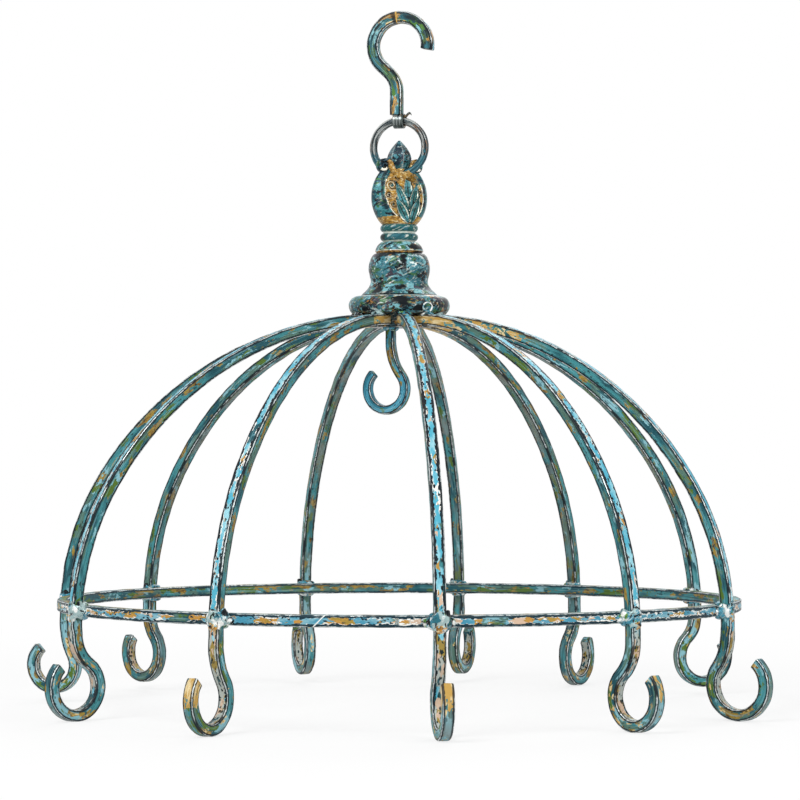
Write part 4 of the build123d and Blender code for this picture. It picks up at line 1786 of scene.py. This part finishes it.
@dataclass
class LinkRing:
    """The closed ring of round wire through the finial's eye."""

    eye_height: float
    azimuth: float = 75.0
    radius: float = 14.3
    wire: float = 4.2
    steps: int = 120
    wire_points: int = 20

    @property
    def top(self) -> float:
        """The height of the wire's middle at the top of the ring."""
        return self.eye_height + 2 * self.radius

    def build(self) -> None:
        """Builds and dresses the ring, which is stained where it runs through the casting."""
        way, side = outward(self.azimuth), outward(self.azimuth + 90)
        centre = up(self.eye_height + self.radius)
        half = self.wire / 2
        shell = Shell("bar_place", "tone")
        for step, (turn, turn_cos, turn_sin) in enumerate(circle(self.steps)):
            out = way * turn_cos + up(turn_sin)
            run = self.radius * abs(turn - math.pi)
            shell.ring()
            for _, cos, sin in circle(self.wire_points):
                thick = half * (0.985 + 0.03 * noise.noise(Vector((step * 0.3, cos, sin))))
                spot = centre + out * (self.radius + thick * cos) + side * thick * sin
                shell.point(spot, (run, half * cos, half * sin), smoothstep(0.35, -0.75, turn_sin))
        ring = shell.finish("wire_ring", closed=True)
        dress(ring, WirePaint("ring_paint").material(), Body.RING, Slot.RING, "link_ring")


@dataclass
class HangerHook:
    """The hanger: a bow and a swan neck, with an eye round the link ring."""

    ring_top: float
    azimuth: float = 75.0
    bar: float = 6.5
    corner: float = 1.2
    bevel: float = 0.35
    seed: float = 950.0
    station_step: float = 1.2
    bow_radius: float = 15.1
    bow_rise: float = 40.8
    bow_offset: float = 0.7
    tip_angle: float = -10.0
    seam_angle: float = 96.0
    neck_angle: float = 44.0
    neck_radius: float = 14.0
    neck_run: float = 5.7
    foot_steps: int = 5
    foot_gap: float = 0.6
    eye_bore: float = 2.75
    eye_wall: float = 1.35
    eye_width: float = 6.0
    eye_steps: int = 56
    outer_chamfer: float = 0.4
    inner_chamfer: float = 0.3
    tail: tuple[tuple[float, float, float], ...] = (
        (2.6, 1.6, 1.0), (3.8, 2.4, 0.9), (4.9, 3.6, 0.75),
        (5.7, 4.2, 0.6), (6.4, 3.9, 0.5), (6.8, 3.2, 0.35),
    )

    def line(self) -> list[Station]:
        """The hanger's line from its eye up to its tip.

        Returns:
            The stations of its line.
        """
        end = 270 - self.neck_angle
        points = arc((self.bow_offset, self.ring_top + self.bow_rise), self.bow_radius, self.tip_angle, end,
                     self.station_step)
        (x, z), _ = points[-1]
        heading, across = math.radians(end + 90), math.radians(end)
        normal = (math.cos(across), math.sin(across))
        x, z = x + math.cos(heading) * self.neck_run, z + math.sin(heading) * self.neck_run
        points.append(((x, z), normal))
        centre = (x + normal[0] * self.neck_radius, z + normal[1] * self.neck_radius)
        bend = arc(centre, self.neck_radius, end - 180, end - 180 + self.neck_angle - 90, self.station_step)
        points += turned_in(bend[1:])
        (x, z), out = points[-1]
        foot = self.ring_top + self.eye_bore + self.foot_gap
        for step in range(1, self.foot_steps + 1):
            points.append(((x, z + (foot - z) * step / self.foot_steps), out))
        return taper_end(measure(stand(list(reversed(points)), self.azimuth, up(0))), self.bevel)

    def build(self) -> None:
        """Builds and dresses the hanger, its eye and the eye's tail."""
        line = self.line()
        for station in line:
            station.gild = 0.34 * smoothstep(48, 58, station.run) * smoothstep(78, 70, station.run)
        seam = self.seed + line[-1].run - math.radians(self.seam_angle - self.tip_angle) * self.bow_radius
        finish = replace(HANGER_PAINT, half=self.bar / 2, seam_run=seam).material()
        piece = BarStock(self.bar, self.corner).sweep("hanger_bar", line, self.seed)
        dress(piece, finish, Body.HANGER, Slot.HANGER, "hanger_hook")
        strap = STRAP_STEEL.material()
        dress(self.build_eye(), strap, Body.HANGER, Slot.HANGER)
        way, side = outward(self.azimuth), outward(self.azimuth + 90)
        curl = [Station(up(self.ring_top) + way * x + up(z), up(1), side, girth=girth)
                for x, z, girth in self.tail]
        stock = BarStock(2.2, corner=0.7, face_points=2, corner_points=3, hammering=0.05)
        dress(stock.sweep("hanger_eye_tail", measure(curl), 77.0), strap, Body.HANGER, Slot.HANGER)

    def build_eye(self) -> bpy.types.Object:
        """Builds the strap that is closed round the link ring.

        Returns:
            The strap.
        """
        way, side = outward(self.azimuth), outward(self.azimuth + 90)
        half, inner, outer = self.eye_width / 2, self.eye_bore, self.eye_bore + self.eye_wall
        wide, fine = self.outer_chamfer, self.inner_chamfer
        section = [(outer, -half + wide), (outer, half - wide), (outer - wide, half), (inner + fine, half),
                   (inner, half - fine), (inner, -half + fine), (inner + fine, -half), (outer - wide, -half)]
        shell = Shell("bar_place")
        for turn, cos, sin in circle(self.eye_steps):
            out = side * cos + up(sin)
            shell.ring()
            for radius, across in section:
                shell.point(up(self.ring_top) + out * radius + way * across, (radius * turn, across, radius))
        return shell.finish("hanger_eye", closed=True, sharp=40)


HANGER_PAINT = BarPaint("hanger_paint", deep="1B2A2E", teal="33707C", sage="4A6440", light="8CC2C9",
                        olive="4F7B36", olive_level=0.57, ochre="BE8F42", ochre_level=0.57, sage_level=0.52,
                        light_level=0.53, band_level=0.45, gold_level=0.56, deep_level=0.46, seam_slant=0.0)
STRAP_STEEL = WirePaint("strap_steel", bright="8A9190", grey="39423F", brown="8A6A3C")


@dataclass
class CentreHook:
    """The small hook under the crown, with the weld that holds it."""

    boss_foot: float
    azimuth: float = 242.0
    offset: float = -4.5
    bar: float = 4.9
    corner: float = 1.0
    bevel: float = 0.3
    seed: float = 1310.0
    station_step: float = 1.1
    straight: float = 8.0
    straight_steps: int = 6
    sink: float = 1.0
    bow_radius: float = 11.4
    bow_offset: float = 2.7
    bow_drop: float = 33.0
    tip_angle: float = 47.0
    weld_azimuths: tuple[int, ...] = (20, 110, 200, 290)
    weld_voxel: float = 0.4

    def build(self) -> None:
        """Builds and dresses the hook and its weld."""
        out, side = outward(self.azimuth), outward(self.azimuth + 90)
        top = Vector((self.offset, 0, 0))
        start, length = self.boss_foot + self.sink, self.straight + self.sink
        stations = [Station(top + up(start - length * k / self.straight_steps), out, side)
                    for k in range(self.straight_steps)]
        hook = HookBend(self.boss_foot - self.straight, self.bow_offset, self.boss_foot - self.bow_drop,
                        self.bow_radius, self.tip_angle)
        stations += stand(hook.points(self.station_step), self.azimuth, top)
        line = taper_end(measure(stations), self.bevel)
        piece = BarStock(self.bar, self.corner).sweep("centre_hook_bar", line, self.seed)
        finish = replace(SMALL_HOOK_PAINT, half=self.bar / 2).material()
        dress(piece, finish, Body.RACK, Slot.SMALL_HOOK, "centre_hook")
        welds = WeldMetal("centre_weld_metal")
        for azimuth in self.weld_azimuths:
            way = outward(azimuth)
            spot = top + way * (self.bar / 2 + 0.4) + up(self.boss_foot - 0.3)
            welds.lump(spot, (way, outward(azimuth + 90), up(1)), (1.7, 2.4, 1.7), azimuth)
        dress(welds.join(self.weld_voxel), WELD_PAINT.material(), Body.RACK, Slot.WELD, "centre_weld")


SMALL_HOOK_PAINT = BarPaint("small_hook_paint", deep="2A7286", teal="4FA2BC", light="9CCFDA",
                            band_level=0.62, ochre_level=0.62, sage_level=0.60)


@dataclass
class Crown:
    """What lies under the hub: the boss, the stud and the welds along the flange."""

    dome: Dome
    hub: BellHub
    weld_voxel: float = 0.5
    drip_azimuth: float = 34.0
    drip_height: float = 3.2
    drip_half_width: float = 2.9
    drip_half_height: float = 2.4
    drip_lumps: int = 18

    def build(self) -> None:
        """Dresses the boss and the stud, and builds the welds at the ribs' backs."""
        for node, slot in (("crown_boss", Slot.CROWN), ("hub_stud", Slot.STUD)):
            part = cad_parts[node]
            part.data.materials.clear()
            part.data.materials.append(CROWN_PAINT.material())
        welds = WeldMetal("crown_weld_metal")
        for number, rib in enumerate(self.dome.ribs, 1):
            axes = (outward(rib.azimuth), outward(rib.azimuth + 90), up(1))
            spot = axes[0] * (self.hub.flange_foot_radius - 0.6) + up(self.dome.crown_height - 0.3)
            welds.lump(spot, axes, (2.2, 4.2, 1.9), number * 23, -0.35)
        self.add_drip(welds)
        dress(welds.join(self.weld_voxel), WELD_PAINT.material(), Body.RACK, Slot.WELD, "crown_welds")

    def add_drip(self, welds: WeldMetal) -> None:
        """Adds the small ring of weld metal that stands out on the flange's edge.

        Args:
            welds: The metal that it joins.
        """
        out, side = outward(self.drip_azimuth), outward(self.drip_azimuth + 90)
        reach = self.hub.flange_core_radius + self.hub.flange_roll
        middle = out * (reach + 0.1) + up(self.dome.crown_height + self.drip_height)
        for k, (_, cos, sin) in enumerate(circle(self.drip_lumps)):
            spot = middle + side * self.drip_half_width * cos + up(self.drip_half_height * sin)
            spot -= out * 0.06 * (spot - middle).length ** 2
            welds.lump(spot, (out, side, up(1)), (0.7, 0.7, 0.7), 300 + k, 0.45)


CROWN_PAINT = CastPaint("crown_paint", grounds=("33525C", "17252C", "4A5B58", "20343C"),
                        spots=(("A77B34", 0.58), ("0E171C", 0.56)), size=3.0)


# Studio


@dataclass(frozen=True)
class Lamp:
    """A square soft lamp that looks at the rack, with its sizes in metres and its power in watts."""

    name: str
    place: tuple[float, float, float]
    size: float
    power: float

    def hang(self, target: Vector) -> None:
        """Hangs the lamp so that it looks at a target.

        Args:
            target: Where it looks, in metres.
        """
        light = bpy.data.lights.new(self.name, "AREA")
        light.size = self.size
        light.energy = self.power
        holder = place_object(self.name, light)
        holder.location = self.place
        holder.rotation_euler = (target - Vector(self.place)).to_track_quat("-Z", "Y").to_euler()


@dataclass
class Studio:
    """The pale floor, the white surround, the lamps and the camera, with sizes in metres."""

    eye: tuple[float, float, float] = (0.0004, -1.674, 0.1391)
    pitch: float = 0.01558
    lens: float = 140.04
    sensor: float = 36.0
    clip: tuple[float, float] = (0.1, 30.0)
    surround_light: float = 0.42
    floor_reach: float = 6.0
    floor_grey: float = 0.8
    floor_glow: float = 0.755
    floor_share: float = 0.22
    floor_fade: tuple[float, float] = (0.30, 0.75)
    lamp_target: tuple[float, float, float] = (0.0, 0.0, 0.15)
    lamps: tuple[Lamp, ...] = (
        Lamp("key_lamp", (-1.0, -1.5, 1.7), 1.0, 33.0),
        Lamp("fill_lamp", (1.5, -1.2, 0.9), 1.2, 14.0),
        Lamp("back_lamp", (0.4, 1.5, 1.5), 1.2, 14.0),
    )

    def surround(self) -> None:
        """Makes the world white where it is seen and a soft light elsewhere."""
        world = bpy.data.worlds.new("surround")
        bpy.context.scene.world = world
        tree = Tree(world)
        levels = {"Value": tree.seen(), "To Min": self.surround_light, "To Max": 1.0}
        strength = tree.add("ShaderNodeMapRange", levels).outputs["Result"]
        background = tree.add("ShaderNodeBackground", {"Color": (1, 1, 1, 1), "Strength": strength})
        tree.add("ShaderNodeOutputWorld", {"Surface": background.outputs[0]})

    def floor(self) -> None:
        """Lays a pale floor that is white to the camera but for the object's soft shadow."""
        shape = bmesh.new()
        reach = self.floor_reach
        corners = ((-reach, -reach), (reach, -reach), (reach, reach), (-reach, reach))
        shape.faces.new([shape.verts.new((x, y, 0)) for x, y in corners])
        floor = finish_mesh("studio_floor", shape)
        tree = Tree(bpy.data.materials.new("studio_floor_paint"))
        plain, faint = ((level, level, level, 1) for level in (self.floor_grey, self.floor_share))
        white = (1, 1, 1, 1)
        lit = tree.add("ShaderNodeBsdfDiffuse", {"Color": plain}).outputs[0]
        shadowed = tree.add("ShaderNodeBsdfDiffuse", {"Color": faint}).outputs[0]
        glow = tree.add("ShaderNodeEmission", {"Color": white, "Strength": self.floor_glow}).outputs[0]
        near = tree.add("ShaderNodeAddShader", {0: shadowed, 1: glow}).outputs[0]
        far = tree.add("ShaderNodeEmission", {"Color": white, "Strength": 1.0}).outputs[0]
        spot = tree.add("ShaderNodeTexCoord", {}).outputs["Object"]
        distance = tree.add("ShaderNodeVectorMath", {0: spot}, operation="LENGTH").outputs["Value"]
        fade = tree.rise(distance, *self.floor_fade)
        shown = tree.add("ShaderNodeMixShader", {0: fade, 1: near, 2: far}).outputs[0]
        surface = tree.add("ShaderNodeMixShader", {0: tree.seen(), 1: lit, 2: shown}).outputs[0]
        tree.add("ShaderNodeOutputMaterial", {"Surface": surface})
        floor.data.materials.append(tree.owner)

    def camera(self) -> None:
        """Sets up the camera at the photograph's viewing angle."""
        camera = bpy.data.cameras.new("photo_camera")
        camera.lens = self.lens
        camera.sensor_width = self.sensor
        camera.clip_start, camera.clip_end = self.clip
        holder = place_object("photo_camera", camera)
        holder.location = self.eye
        holder.rotation_euler = (math.pi / 2 + self.pitch, 0, 0)
        bpy.context.scene.camera = holder

    def build(self) -> None:
        """Sets up the whole studio."""
        self.surround()
        self.floor()
        for lamp in self.lamps:
            lamp.hang(Vector(self.lamp_target))
        self.camera()
        bpy.context.scene.view_settings.view_transform = "Standard"


def main() -> None:
    """Builds every piece in its order."""
    logging.basicConfig(level=logging.INFO, format="%(name)s: %(message)s")
    Studio().build()
    dome = Dome()
    dome.build()
    hub = BellHub(dome.crown_height)
    hub.build()
    Crown(dome, hub).build()
    finial = Finial(dome.crown_height + hub.height)
    finial.build()
    ring = LinkRing(finial.foot + finial.eye_height)
    ring.build()
    HangerHook(ring.top).build()
    CentreHook(dome.boss_foot).build()


if __name__ == "__main__":
    main()
